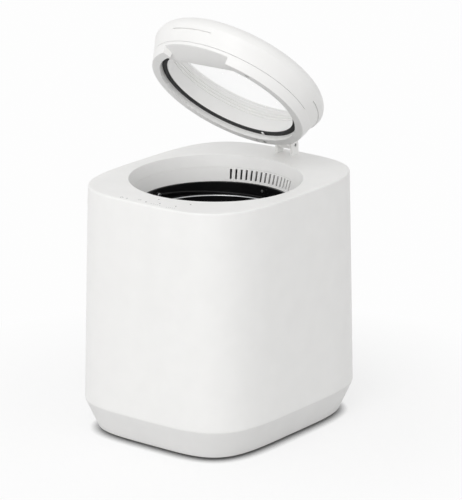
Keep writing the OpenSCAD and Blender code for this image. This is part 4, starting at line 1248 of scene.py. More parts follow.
@dataclass(frozen=True)
class Base:
    """The tapering skirt with its floor, the feet below it and the screw recesses."""

    floor_t: float = 3.0
    floor_in: float = 30.0
    lower_edge: float = 2.2
    side_low: float = 4.0
    top_edge: float = 0.12
    tongue_h: float = 8.0
    tongue_t: float = 2.0
    tongue_gap: float = 0.4
    root_drop: float = 4.0
    root_t: float = 1.0
    foot_r: float = 11.0
    foot_in: float = 11.0
    foot_back: float = 0.5
    boss_in: float = 13.0
    boss_r: float = 6.0
    recess_r: float = 4.0
    recess_top: float = 15.0
    screw_r: float = 1.9
    screw_top: float = 60.0
    vents: int = 9
    vent_pitch: float = 12.0
    vent_w: float = 5.0
    vent_y: tuple[float, float] = (-30.0, 10.0)

    def corner(self) -> Point:
        """Where the screw boss stands in the corner at +X and +Y.

        Returns:
            The place.
        """
        ring = FORM.skirt_at(FORM.foot_gap, self.boss_in)
        share = 0.5 ** (1 / ring.squareness)
        return ring.half_x * share, ring.half_y * share

    def foot_place(self) -> Point:
        """Where the foot stands in the corner at +X and +Y."""
        x, y = self.corner()
        return x - self.foot_r - self.recess_r - self.foot_in, y - self.boss_r - self.foot_back

    def rings(self) -> list[Outline]:
        """The rings from the underside, round the lower edge, up the skirt, and back down inside.

        Returns:
            The rings in order.
        """
        low, r, top = FORM.foot_gap, self.lower_edge, FORM.crease_z
        underside = FORM.skirt_at(low, self.floor_in)
        edge = [FORM.skirt_at(low + r * (1 - math.cos(a)), r * (1 - math.sin(a)))
                for a in steps_between(0, math.pi / 2, 6)]
        side = [FORM.skirt_at(z) for z in steps_between(low + self.side_low, top - 2 * FORM.roll_reach, 4)]
        roll = [FORM.skirt_at(z, FORM.rolled_in(z))
                for z in steps_between(top - FORM.roll_reach, top - self.top_edge, 5)]
        inside, tongue_z = FORM.wall + self.tongue_gap, top + self.tongue_h
        ledge = [FORM.skirt_at(top, FORM.roll_depth + self.top_edge), FORM.body_at(top, inside)]
        tongue = [FORM.body_at(tongue_z, inside), FORM.body_at(tongue_z, inside + self.tongue_t),
                  FORM.body_at(top - self.root_drop, inside + self.tongue_t + self.root_t)]
        floor = FORM.skirt_at(low + self.floor_t, FORM.wall)
        return [underside, *edge, *side, *roll, *ledge, *tongue, floor]

    def at_corners(self, place: Point) -> list[Point]:
        """A place repeated in all four corners."""
        return [(sx * place[0], sy * place[1]) for sx in (-1, 1) for sy in (-1, 1)]

    def build(self) -> None:
        """Builds the skirt and the four feet."""
        skirt = ring_stack("base_skirt_shell", self.rings(), Ends.CAPPED)
        floor, top = FORM.foot_gap + self.floor_t, self.recess_top
        places = self.at_corners(self.corner())
        bosses = [post("boss", place, floor - 1, FORM.crease_z, self.boss_r) for place in places]
        carve(skirt, bosses, Cut.ADD)
        cuts = []
        for place in places:
            cuts.append(post("recess", place, 0, top, self.recess_r, 32))
            cuts.append(post("screw_hole", place, top - 1, self.screw_top, self.screw_r, 24))
        half = self.vent_w / 2
        for k in range(self.vents):
            x = (k - (self.vents - 1) / 2) * self.vent_pitch
            cuts.append(block("vent", (x - half, self.vent_y[0], 0), (x + half, self.vent_y[1], floor + 1)))
        carve(skirt, cuts)
        dress(smooth(skirt), Slot.SKIRT, "body", ["base_skirt"])
        self.build_feet(floor)

    def build_feet(self, floor: float) -> None:
        """Turns one rubber foot and sets a copy in each corner.

        Args:
            floor: height of the floor's upper face.
        """
        r, gap = self.foot_r, FORM.foot_gap
        section = rounded([
            (0, 0.6), (r - 3.5, 0.6, 0.3), (r - 3.2, 0, 0.2), (r, 0, 0.9), (r, gap, 0.3),
            (r / 2, gap), (r / 2, floor, 0.4), (0, floor),
        ], facets=3)
        first = smooth(turned("foot_1", section, 0, Sweep(steps=64)))
        places = self.at_corners(self.foot_place())
        for number, (x, y) in enumerate(places, 1):
            foot = first
            if number < len(places):
                foot = first.copy()
                foot.data = first.data.copy()
                bpy.context.scene.collection.objects.link(foot)
            foot.name = f"rubber_foot_{number}"
            foot.data.transform(Matrix.Translation(Vector((x, y, 0)) * MM))
            dress(foot, Slot.RUBBER, "body", ["rubber_feet"])


@dataclass(frozen=True)
class Collar:
    """The white ring between the dish and the bucket, with vent slots at the rear."""

    flange_z: float = 290.0
    flange_r: float = 111.9
    flange_t: float = 3.0
    back: float = 1.6

    def build(self) -> None:
        """Turns the ring and cuts the slots."""
        m = MOUTH
        back_r = m.collar_r + self.back
        section = rounded([
            (m.throat_r, m.throat_z, 0.5), (m.collar_r, m.rim_z), (m.collar_r, self.flange_z, 0.5),
            (self.flange_r, self.flange_z), (self.flange_r, self.flange_z + self.flange_t),
            (back_r, self.flange_z + self.flange_t), (back_r, m.rim_z), (m.throat_r + FORM.wall, m.throat_z),
        ], facets=4)
        ring = turned("mouth_collar", section, m.y, Sweep(steps=360))
        tools = []
        top = m.throat_z - m.slot_drop
        for k in range(m.slots):
            tool = block("slot", (m.collar_r - 5, -m.slot_w / 2, top - m.slot_h),
                         (m.throat_r + 10, m.slot_w / 2, top))
            tool.data.transform(m.around(90 + (k - (m.slots - 1) / 2) * m.slot_pitch))
            tools.append(tool)
        carve(ring, tools)
        dress(smooth(ring), Slot.SHELL, "body", ["vent_collar"])


# The hinge and the rear


@dataclass(frozen=True)
class Hinge:
    """The two ears that carry the lid's pin."""

    y: float = 143.3
    z: float = 343.0
    pin_r: float = 2.5
    arm_w: float = 19.8
    barrel_r: float = 6.5
    ear_x: float = 10.3
    ear_t: float = 4.0
    ear_half: float = 7.0
    edge: float = 0.7
    bridge_t: float = 5.0

    def build(self) -> None:
        """Builds the ears with the bridge below the deck."""
        deck = FORM.height - FORM.wall
        low = deck - self.bridge_t
        h, y, z = self.ear_half, self.y, self.z
        crown = arc((y, z), h, 0, math.pi, 24)
        ears = []
        for x in (-self.ear_x - self.ear_t, self.ear_x):
            ear = across(prism("ear", [(y - h, low), (y + h, low)] + crown, x, x + self.ear_t))
            break_edges(ear, self.edge, segments=3)
            ears.append(ear)
        out = self.ear_x + self.ear_t
        ears.append(block("bridge", (-out, y - h, low), (out, y + h, deck)))
        bracket = joined("hinge_ears", ears)
        dress(smooth(bracket), Slot.SHELL, "body", ["hinge_bracket"])
        pin = rod("hinge_rod", Vector((-out, y, z)), Vector((out, y, z)), self.pin_r, steps=32, edge=0.4)
        dress(smooth(pin), Slot.STEEL, "body", ["hinge_pin"])


@dataclass(frozen=True)
class Rear:
    """The exhaust grille and the power inlet at the rear."""

    fan_z: float = 128.0
    grille: int = 9
    grille_pitch: float = 6.0
    grille_w: float = 3.0
    grille_h: float = 48.0
    inlet_x: float = 54.0
    inlet_z: float = 80.0
    inlet_w: float = 28.0
    inlet_h: float = 20.0

    def grille_places(self) -> list[float]:
        """The middle of each slot of the grille."""
        return [(k - (self.grille - 1) / 2) * self.grille_pitch for k in range(self.grille)]

    def build(self) -> None:
        """Breaks the edges of the inlet and of the fan."""
        inlet = copy_of_node("power_inlet", "mains_inlet", 0.5)
        dress(smooth(inlet), Slot.BLACK, "body", ["power_inlet"])
        rotor = copy_of_node("fan_rotor", "exhaust_fan_rotor", 0.25)
        dress(smooth(rotor), Slot.BLACK, "fan", ["fan_rotor"])


@dataclass(frozen=True)
class Drawer:
    """The filter drawer: a face cut from the case's own surface, and the tray behind it."""

    width: float = 144.0
    low: float = 174.0
    height: float = 110.0
    skin_low: float = 20.0
    skin_drop: float = 5.0
    finger_w: float = 56.0
    finger_h: float = 10.0
    finger_drop: float = 8.0
    finger_corner: float = 3.0
    tray_t: float = 2.0
    tray_back_t: float = 5.2
    tray_half: float = 67.7
    tray_low: float = 178.3
    tray_h: float = 82.0
    tray_front: float = 108.7
    tray_back: float = 158.2
    window_side: float = 12.0
    window_front: float = 9.0
    window_back: float = 19.2

    @property
    def high(self) -> float:
        """Height of the face's upper edge."""
        return self.low + self.height

    def skin(self) -> bpy.types.Object:
        """A shell of the case's wall, from below the drawer to above it.

        Returns:
            The shell.
        """
        heights = steps_between(self.low - self.skin_low, FORM.lip_z - self.skin_drop, 6)
        outer = [FORM.body_at(z) for z in heights]
        inner = [FORM.body_at(z, FORM.wall) for z in reversed(heights)]
        return ring_stack("drawer_face", outer + inner, Ends.BRIDGED)

    def build(self) -> None:
        """Cuts the face from the skin, cuts the finger slot, and builds the tray."""
        face = self.skin()
        half, near, far = self.width / 2, 100, FORM.crease_depth
        carve(face, [block("face_bounds", (-half, near, self.low), (half, far, self.high))], Cut.KEEP)
        w, r = self.finger_w / 2, self.finger_corner
        top = self.high - self.finger_drop
        low = top - self.finger_h
        slot = rounded([(-w, low, r), (w, low, r), (w, top, r), (-w, top, r)], facets=6)
        carve(face, [upright(prism("finger_cut", slot, -200, -near))])
        break_edges(face, 0.35, angle=50)
        dress(smooth(face, 40), Slot.SHELL, "drawer", ["filter_drawer"])
        self.build_tray()

    def build_tray(self) -> None:
        """Hollows a box into the tray, with an air window in its floor."""
        x, t, front, back = self.tray_half, self.tray_t, self.tray_front, self.tray_back
        low, high = self.tray_low, self.tray_low + self.tray_h
        tray = block("filter_tray", (-x, front, low), (x, back, high))
        room = block("tray_room", (t - x, front + t, low + t), (x - t, back - self.tray_back_t, high + 1))
        side = x - self.window_side
        window = block("tray_window", (-side, front + self.window_front, low - 1),
                       (side, back - self.window_back, low + t + 1))
        carve(tray, [room, window])
        break_edges(tray, 0.4)
        dress(smooth(tray), Slot.SHELL, "drawer")


HINGE = Hinge()
REAR = Rear()
DRAWER = Drawer()


# The lid


@dataclass(frozen=True)
class Lid:
    """The round lid, drawn closed and then turned open about the hinge pin."""

    rim_z: float = 314.5
    rim_r: float = 107.0
    ring_w: float = 11.1
    ring_floor: float = 2.6
    inner_wall: float = 2.0
    lean: float = 0.33
    groove_h: float = 13.4
    groove_t: float = 0.3
    wall_r: float = 119.2
    shoulder_h: float = 34.0
    dome_r: float = 18.9
    dome_end: float = 75.0
    shell_t: float = 2.5
    window_r: float = 101.4
    window_h: float = 44.0
    window_t: float = 3.0
    seat_gap: float = 0.2
    ledge_w: float = 2.2
    notch_half: float = 27.6
    notch_h: float = 9.0
    notch_corner: float = 5.0
    cheek: float = 1.4
    mark_angle: float = -45.0
    mark_half: float = 1.4
    mark_in: tuple[float, float] = (8.0, 3.4)
    mark_top: float = 4.0
    grip_y: float = 72.0
    grip_half_x: float = 66.0
    grip_t: float = 0.8
    grip_reach: float = 24.0
    gasket_w: float = 6.4
    gasket_h: float = 6.4
    gasket_t: float = 3.0
    liner_t: float = 2.0
    lines: int = 3
    line_pitch: float = 4.5
    line_depth: float = 1.2
    line_drop: float = 14.0
    cap_half: float = 83.0
    cap_drop: float = 6.0
    cap_in: float = 1.0
    cap_gap: float = 0.5
    groove_angles: tuple[float, float] = (-111.0, -79.0)
    groove_drop: float = 5.2
    groove_half_h: float = 0.55
    groove_depth: float = 1.6
    arm_gap: float = 0.2
    open_angle: float = 44.5

    @property
    def groove_r(self) -> float:
        """Outer radius at the parting groove."""
        return self.rim_r + self.groove_h * self.lean

    @property
    def inner_r(self) -> float:
        """Inner radius of the lower ring, where the sealing ring sits."""
        return self.rim_r - self.ring_w

    @property
    def ledge_r(self) -> float:
        """Radius of the ledge around the window."""
        return self.window_r + self.ledge_w

    @property
    def gasket_r(self) -> float:
        """Inner radius of the sealing ring."""
        return self.inner_r - self.gasket_w

    @property
    def liner_low(self) -> float:
        """Height of the liner's lower edge above the rim."""
        return self.gasket_h + self.gasket_t

    @property
    def cap_top(self) -> float:
        """Height of the rear cap's upper edge above the rim."""
        return self.shoulder_h - self.cap_drop

    def cone(self, h: float) -> float:
        """Outer radius of the wall.

        Args:
            h: height above the rim.

        Returns:
            The radius.
        """
        if h < self.groove_h:
            return mix(self.rim_r, self.groove_r, h / self.groove_h)
        return mix(self.groove_r, self.wall_r, (h - self.groove_h) / (self.shoulder_h - self.groove_h))

    def dome(self, inset: float) -> list[Point]:
        """The top rounding, drawn in by inset."""
        centre = (self.wall_r - self.dome_r, self.shoulder_h)
        return arc(centre, self.dome_r - inset, 0, math.radians(self.dome_end), 12)

    def ring(self, name: str, section: Sequence[Point], sweep: Sweep = Sweep(steps=240)) -> bpy.types.Object:
        """A turned ring of the closed lid, from (radius, height above the rim) points."""
        return turned(name, [(r, h + self.rim_z) for r, h in section], MOUTH.y, sweep)

    def sector(self, name: str, section: Sequence[Point], low: float, high: float) -> bpy.types.Object:
        """A part of such a ring between two angles in degrees."""
        return self.ring(name, section, Sweep(low, high - low, max(24, round((high - low) * 0.75))))

    def opened(self, piece: bpy.types.Object) -> bpy.types.Object:
        """Turns a piece of the closed lid open about the hinge pin.

        Args:
            piece: the piece, drawn closed.

        Returns:
            The same piece.
        """
        with editing(piece):
            bpy.ops.transform.rotate(
                value=math.radians(self.open_angle), orient_axis="X",
                center_override=(0, HINGE.y * MM, HINGE.z * MM),
            )
        return piece

    def finish(self, piece: bpy.types.Object, slot: Slot, nodes: Sequence[str]) -> None:
        """Opens, smooths and dresses a piece of the lid."""
        dress(smooth(self.opened(piece)), slot, "lid", nodes)

    def arm_room(self, low: float) -> bpy.types.Object:
        """The room that the arm takes through the shells, from a height upwards."""
        half, top = HINGE.arm_w / 2 + self.arm_gap, HINGE.z + HINGE.barrel_r + self.arm_gap
        return block("arm_room", (-half, MOUTH.y + 80, low), (half, HINGE.y, top))

    def build_lower_ring(self) -> None:
        """The ring below the parting groove, with its finger notch and the mark on its rim."""
        top, floor = self.groove_h - self.groove_t, self.ring_floor
        wall_r = self.inner_r + self.inner_wall
        ring = self.ring("lid_lower_ring", rounded([
            (self.inner_r, 0, 0.5), (self.rim_r, 0, 0.8), (self.cone(top), top, 0.4),
            (self.cone(top) - self.shell_t, top), (self.rim_r - 1.8, floor), (wall_r, floor),
            (wall_r, self.liner_low), (self.inner_r, self.liner_low),
        ], facets=4))
        half, high = self.notch_half, self.notch_h
        cheeks = self.sector("notch_cheeks", [
            (wall_r - 0.5, 2.0), (self.rim_r - 1.0, 2.0), (self.cone(high) - 1.2, high + 1),
            (wall_r - 0.5, high + 1),
        ], -90 - self.cheek - half, -90 + self.cheek + half)
        carve(ring, [cheeks], Cut.ADD)
        room = oblong(self.inner_r - 7, self.rim_r + 9, -9, high)
        notch = self.sector("notch", room, -90 - half, -90 + half)
        break_edges(notch, self.notch_corner, segments=6)
        near, far = (self.rim_r - inset for inset in self.mark_in)
        mark = self.sector("rim_mark", oblong(near, far, -1, self.mark_top),
                           self.mark_angle - self.mark_half, self.mark_angle + self.mark_half)
        carve(ring, [notch])
        carve(ring, [mark])
        self.finish(ring, Slot.SHELL, ["lid_skirt"])

    def build_grip_plate(self) -> None:
        """The plate behind the notch: a straight inner edge, and a gentle rise to the wall."""
        low, thin, front = self.gasket_h - 2.4, self.grip_t, self.grip_y
        inner, bend, outer = self.inner_r, self.gasket_r - 1.5, self.rim_r + 1.6
        under, over = self.notch_h - 0.3, self.notch_h + 0.6
        reach = self.notch_half + self.grip_reach
        plate = self.sector("lid_grip_plate", [
            (front - 5, low), (bend, low), (outer, under), (outer, over), (inner + 2.2, over),
            (inner + 2.2, low + 2.9), (inner, low + 2.3), (bend, low + thin), (front - 5, low + thin),
        ], -90 - reach, -90 + reach)
        x, y = self.grip_half_x, MOUTH.y - front
        keep = block("plate_bounds", (-x, y - 60, self.rim_z - 5), (x, y, self.rim_z + 20))
        carve(plate, [keep], Cut.KEEP)
        break_edges(plate, 0.25)
        self.finish(plate, Slot.SHELL, ["lid_skirt"])

    def build_cover(self) -> None:
        """The domed cover with the window's seat, the rear cap's place and the short front groove."""
        seat_r, window = self.window_r + self.seat_gap, self.window_h
        low, far = self.groove_h, self.wall_r + 4
        dome = self.dome(0)
        seat = rounded([
            dome[-1], (seat_r, window + 4.4, 0.8), (seat_r, window), (self.ledge_r, window),
        ], closed=False)
        section = [
            (self.groove_r, low), *dome, *seat[1:], (self.ledge_r, window + 2.2),
            *self.dome(self.shell_t)[::-1], (self.groove_r - self.shell_t, low),
        ]
        cover = self.ring("lid_domed_cover", section)
        place = oblong(self.groove_r - 8, far, low - 1, self.cap_top)
        cap_place = self.sector("cap_place", place, 90 - self.cap_half, 90 + self.cap_half)
        h, half = self.shoulder_h - self.groove_drop, self.groove_half_h
        groove = oblong(self.cone(h) - self.groove_depth, far, h - half, h + half)
        line = self.sector("front_groove", groove, *self.groove_angles)
        for tool in (cap_place, line, self.arm_room(self.rim_z + low)):
            carve(cover, [tool])
        self.finish(cover, Slot.SHELL, ["lid_cover"])

    def build_rear_cap(self) -> None:
        """The cap that closes the cover's place at the rear."""
        low, high = self.groove_h, self.cap_top - self.cap_gap
        outer = [(self.cone(h) - self.cap_in, h) for h in (low, high)]
        inner = [(r - self.shell_t, h) for r, h in reversed(outer)]
        cap = self.sector("lid_rear_panel", outer + inner, 90.15 - self.cap_half, 89.85 + self.cap_half)
        carve(cap, [self.arm_room(self.rim_z)])
        self.finish(cap, Slot.SHELL, ["lid_rear_cap"])

    def build_liner(self) -> None:
        """The liner with its fine grooves."""
        low, high, t, deep = self.liner_low, self.window_h, self.liner_t, self.line_depth
        foot_r, top_r, wall_r = self.gasket_r + 0.2, self.window_r - 1.6, self.inner_r + self.inner_wall

        def inside(h: float) -> float:
            """Inner radius of the liner at a height, between its fine grooves."""
            return mix(foot_r, top_r, (h - low) / (high - low))

        lines: list[Point] = []
        for k in range(self.lines):
            h = high - self.line_drop + self.line_pitch * k
            out = inside(h) + deep
            lines += [(inside(h), h), (out, h + 0.3), (out, h + 1.1), (inside(h + 1.4), h + 1.4)]
        section = [
            (wall_r, low), (foot_r, low), *lines, (top_r, high), (self.ledge_r, high),
            (self.ledge_r, high - t), (top_r + t, high - t), (inside(low + t) + t, low + t),
            (wall_r, low + t),
        ]
        self.finish(self.ring("lid_inner_liner", section), Slot.SHELL, ["lid_liner"])
    def build_window(self) -> None:
        """The clear window and the dark sealing ring."""
        low, top, r = self.window_h, self.window_h + self.window_t, self.window_r
        pane = rounded([(0, low), (r, low, 0.5), (r, top, 0.5), (0, top)], facets=3)
        self.finish(self.ring("lid_window_pane", pane), Slot.WINDOW, ["lid_window"])
        foot, inner, outer = self.gasket_h, self.gasket_r, self.inner_r
        seal = rounded([
            (inner, foot, 1.0), (inner + 2.4, foot + 0.5, 0.3), (outer, foot + 0.5, 0.4),
            (outer, self.liner_low), (inner, self.liner_low, 0.6),
        ], facets=4)
        self.finish(self.ring("lid_sealing_ring", seal), Slot.RUBBER, ["lid_gasket"])

    def build_tab(self) -> None:
        """The small tab of the liner that shows across the sealing ring."""
        foot_z = self.rim_z + self.gasket_h
        tab = block("lid_liner_tab", (4.2, MOUTH.y + self.gasket_r - 1.5, foot_z - 1.4),
                    (6.6, MOUTH.y + self.inner_r + 0.3, foot_z + 0.4), 0.4)
        self.finish(tab, Slot.SHELL, ["lid_liner"])

    def build_arm(self) -> None:
        """The arm that joins the lid to the hinge, with its barrel."""
        h = HINGE
        front, back = (MOUTH.y + self.inner_r + out for out in (3.2, 8.4))
        half, low = h.arm_w / 2, self.rim_z + self.ring_floor
        arm = across(prism("lid_hinge_arm", [
            (front, low), (back, low), (back, self.rim_z + self.groove_h + 0.4),
            (h.y - 6, h.z - h.barrel_r), (h.y, h.z - h.barrel_r), (h.y, h.z + h.barrel_r),
            (back, h.z + h.barrel_r), (back, h.z), (front, h.z - 8),
        ], -half, half))
        barrel = rod("barrel", Vector((-half, h.y, h.z)), Vector((half, h.y, h.z)), h.barrel_r, steps=64)
        carve(arm, [barrel], Cut.ADD)
        break_edges(arm, 0.6, segments=3)
        self.finish(arm, Slot.SHELL, ["lid_arm"])

    def build(self) -> None:
        """Builds the whole lid."""
        self.build_lower_ring()
        self.build_grip_plate()
        self.build_cover()
        self.build_rear_cap()
        self.build_liner()
        self.build_window()
        self.build_tab()
        self.build_arm()


# The bucket, its bail and the stirrer


@dataclass(frozen=True)
class Bucket:
    """The lift-out bucket with its stepped mouth and the hub in its floor."""

    mouth_r: float = 98.5
    step_r: float = 94.8
    floor_r: float = 90.0
    step_drop: float = 17.0
    step_edge: float = 1.3
    depth: float = 160.0
    wall: float = 1.5
    flange_t: float = 1.5
    flange_gap: float = 0.5
    hub_r: float = 14.0
    hub_top: float = 150.0
    bush_r: float = 9.0
    seal_r: float = 10.0
    seal_t: float = 3.7
    hub_low: float = 127.0
    pivot_drop: float = 7.4
    rivet_r: float = 1.85
    bail_wire: float = 2.8
    eye_r: float = 4.2
    eye_t: float = 2.0
    eye_gap: float = 1.4
    head_t: float = 1.8
    head_lip: float = 1.35

    @property
    def rim_z(self) -> float:
        """Height of the bucket's rim."""
        return MOUTH.rim_z

    @property
    def step_z(self) -> float:
        """Height of the step inside."""
        return self.rim_z - self.step_drop

    @property
    def floor_z(self) -> float:
        """Height of the bucket's floor inside."""
        return self.rim_z - self.depth

    @property
    def pivot_z(self) -> float:
        """Height of the bail's pivots."""
        return self.rim_z - self.pivot_drop

    @property
    def eye_x(self) -> float:
        """Distance from the axis to the outer face of the bail's eyes."""
        return self.mouth_r - self.eye_gap

    def build_bucket(self) -> None:
        """Turns the bucket with its rounded rim, step and floor."""
        t, z = self.wall, self.floor_z
        flange_r = MOUTH.collar_r - self.flange_gap
        seal_z = self.hub_top - self.seal_t
        section = rounded([
            (self.hub_r, self.hub_top, 0.8), (self.seal_r, self.hub_top, 0.5),
            (self.seal_r, seal_z), (self.bush_r, seal_z),
            (self.bush_r, self.hub_low), (self.hub_r, self.hub_low, 0.6), (self.hub_r, z - t),
            (self.floor_r + t, z - t, 7), (self.step_r + t, self.step_z - t, 1.5),
            (self.mouth_r + t, self.step_z - t, 1.2), (self.mouth_r + t, self.rim_z - self.flange_t),
            (flange_r, self.rim_z - self.flange_t, 0.4), (flange_r, self.rim_z, 0.5),
            (self.mouth_r, self.rim_z, 0.9), (self.mouth_r, self.step_z, 1.0),
            (self.step_r, self.step_z, self.step_edge), (self.floor_r, z, 6), (self.hub_r, z, 2.5),
        ], facets=6)
        bucket = turned("scrap_bucket", section, MOUTH.y, Sweep(steps=240))
        dress(smooth(bucket, 38), Slot.BUCKET, "bucket", ["bucket"])
        self.polish_step(bucket)

    def polish_step(self, bucket: bpy.types.Object) -> None:
        """Leaves the rounded edge of the step bare, as a bright turned line.

        Args:
            bucket: the bucket.
        """
        bucket.data.materials.append(FINISHES[Slot.ALUMINIUM])
        axis = Vector((0, MOUTH.y * MM, 0))
        low, high = (self.step_z - self.step_edge) * MM, self.step_z * MM - WELD
        for face in bucket.data.polygons:
            reach = (face.center - axis).to_2d().length / MM
            if low < face.center.z < high and reach < self.step_r + self.step_edge:
                face.material_index = 1

    def build_rivets(self) -> None:
        """The two pivots of the bail and the plain rivets at the front and the rear."""
        head = self.eye_x - self.eye_t - 2.2
        out = self.mouth_r + self.wall - 0.2
        parts = []
        for angle in (0, 180):
            parts.append(self.pin("pivot", angle, head, out, self.rivet_r))
            head_end, head_r = head + self.head_t, self.rivet_r + self.head_lip
            parts.append(self.pin("pivot_head", angle, head, head_end, head_r, 0.7))
        for angle in (90, 270):
            parts.append(self.pin("plain_rivet", angle, self.mouth_r - 0.6, out, self.rivet_r, 0.3))
        dress(smooth(joined("bail_pivots", parts)), Slot.STEEL, "bucket", ["bail_rivets"])

    def pin(
        self, name: str, angle: float, start: float, end: float, radius: float, edge: float = 0.2
    ) -> bpy.types.Object:
        """A pin that points outwards at the pivots' height.

        Args:
            name: the pin's name.
            angle: its direction around the mouth, in degrees.
            start: distance of its inner end from the axis.
            end: distance of its outer end.
            radius: its radius.
            edge: width of the rounding of its ends.

        Returns:
            The pin.
        """
        a = math.radians(angle)
        way = Vector((math.cos(a), math.sin(a), 0))
        centre = Vector((0, MOUTH.y, self.pivot_z))
        return rod(name, centre + way * start, centre + way * end, radius, steps=32, edge=edge)

    def build_bail(self) -> None:
        """Bends the wire of the bail along the rear wall and adds its flat eyes."""
        gap, r = 0.4, self.bail_wire / 2
        bail_r = (self.step_r + self.mouth_r) / 2 - gap
        drop = math.asin((self.pivot_z - self.step_z - r - gap) / bail_r)
        section = arc((bail_r, self.pivot_z), r, 0, math.tau, 20)[:-1]
        wire = turned("bail_wire", section, MOUTH.y, Sweep(0, 180, 96))
        x = self.eye_x
        eyes = [self.pin("eye", angle, x - self.eye_t, x, self.eye_r, 0.5) for angle in (0, 180)]
        bail = joined("bail_handle", [wire, *eyes])
        pivot = (0, MOUTH.y * MM, self.pivot_z * MM)
        with editing(bail):
            bpy.ops.transform.rotate(value=drop, orient_axis="X", center_override=pivot)
        dress(smooth(bail, 40), Slot.BUCKET, "bail", ["bail"])

    def build(self) -> None:
        """Builds the bucket with its rivets and its bail."""
        self.build_bucket()
        self.build_rivets()
        self.build_bail()


@dataclass(frozen=True)
class Stirrer:
    """The cast stirrer: a domed hub with three low blades."""

    hub_r: float = 16.0
    bore_r: float = 6.0
    low: float = 150.4
    height: float = 66.0
    roof: float = 6.0
    reach: float = 84.0
    foot: float = 3.0
    thickness: float = 4.0
    blades: int = 3
    first_angle: float = 30.0

    def build(self) -> None:
        """Turns the hub, shapes one blade, and sets a copy at each angle."""
        low, top, r, bore = self.low, BUCKET.floor_z + self.height, self.hub_r, self.bore_r
        hub = rounded([
            (bore, low), (r, low, 1.0), (r, top - 16, 6), (r - 4, top - 5, 4), (7.0, top, 2.5), (0, top),
            (0, top - self.roof), (bore, top - self.roof),
        ], facets=5)
        parts = [turned("stirrer_hub", hub, MOUTH.y, Sweep(steps=72))]
        foot, inner, half = BUCKET.floor_z + self.foot, BUCKET.hub_r, self.thickness / 2
        outline = rounded([
            (inner + 3, foot, 1.5), (self.reach, foot, 4), (self.reach, foot + 17, 7),
            (inner + 16, foot + 39, 22), (inner - 4, foot + 43), (inner - 4, low), (inner + 3, low),
        ], facets=6)
        for k in range(self.blades):
            blade = prism("blade", outline, -half, half)
            break_edges(blade, 1.2, segments=3, angle=60)
            upright(blade).data.transform(MOUTH.around(self.first_angle + 360 * k / self.blades))
            parts.append(blade)
        dress(smooth(joined("stirrer_casting", parts), 40), Slot.BUCKET, "stirrer", ["stirrer_blades"])


BUCKET = Bucket()


# The marks on the deck


@dataclass(frozen=True)
class PanelMarks:
    """Small printed marks beside the indicators: rings, rising bars, a drop and two rows of dashes."""

    rise: float = 0.05
    depth: float = 0.05
    stroke: float = 0.45
    ring_at: Point = (-36.5, -153.6)
    bars_at: Point = (-12.9, -148.5)
    bar_pitch: float = 1.1
    drop_at: Point = (1.2, -151.9)
    dashes: int = 5
    dash_share: float = 0.6
    dash_w: float = 0.35
    dash_rows: tuple[tuple[Point, Point], ...] = (
        ((10.4, -153.3), (26.0, -152.6)), ((35.7, -154.7), (49.0, -151.2)),
    )

    def plate(self, name: str, points: Sequence[Point]) -> bpy.types.Object:
        """A thin inlay of an outline, level with the deck."""
        return prism(name, points, FORM.height - self.depth, FORM.height + self.rise)

    def ring(self, centre: Point, radius: float, gap: float) -> bpy.types.Object:
        """A thin ring that is open at the rear.

        Args:
            centre: its centre.
            radius: its outer radius.
            gap: the width of the opening, in degrees.

        Returns:
            The ring.
        """
        start, end = math.radians(90 + gap / 2), math.radians(450 - gap / 2)
        outer = arc(centre, radius, start, end, 28)
        inner = arc(centre, radius - self.stroke, end, start, 28)
        return self.plate("ring_mark", outer + inner)

    def bar(self, start: Point, end: Point, width: float) -> bpy.types.Object:
        """A straight mark.

        Args:
            start: the middle of one end.
            end: the middle of the other end.
            width: its width.

        Returns:
            The bar.
        """
        a, b = Vector(start), Vector(end)
        side = (b - a).normalized().orthogonal() * width / 2
        return self.plate("bar_mark", [tuple(a + side), tuple(a - side), tuple(b - side), tuple(b + side)])

    def build(self) -> None:
        """Sets all marks into the deck as one printed layer."""
        x, y = self.ring_at
        marks = [self.ring(self.ring_at, 2.0, 50), self.bar((x, y + 0.6), (x, y + 2.3), self.stroke)]
        marks.append(self.ring((x + 8, y + 0.4), 1.3, 1))
        for k in range(4):
            x, y = self.bars_at[0] + self.bar_pitch * k, self.bars_at[1]
            marks.append(self.bar((x, y - 1.4), (x, y - 0.4 + 0.6 * k), 0.5))
        x, y = self.drop_at
        turns = steps_between(0, math.tau, 24)[:-1]
        drop = [(x + 1.3 * math.sin(a) * abs(math.cos(a / 2)), y + 1.7 * math.cos(a)) for a in turns]
        marks.append(self.plate("drop_mark", drop))
        for row in self.dash_rows:
            a, b = map(Vector, row)
            for k in range(self.dashes):
                ends = (tuple(a.lerp(b, place / self.dashes)) for place in (k, k + self.dash_share))
                marks.append(self.bar(*ends, self.dash_w))
        dress(joined("panel_marks", marks), Slot.LENS, "body")


# Everything that keeps its frame shape


def dress_frame_nodes() -> None:
    """Gives each frame node that still shows the finish of its own slot."""
    for row in frame["record"]["subparts"]:
        node = frame["nodes"][row["node"]]
        if node.hide_render:
            continue
        node.data.materials.clear()
        node.data.materials.append(FINISHES[Slot(row["material_slot"])])
        log.info("%s: frame shape, %s", row["node"], row["material_slot"])


# The studio


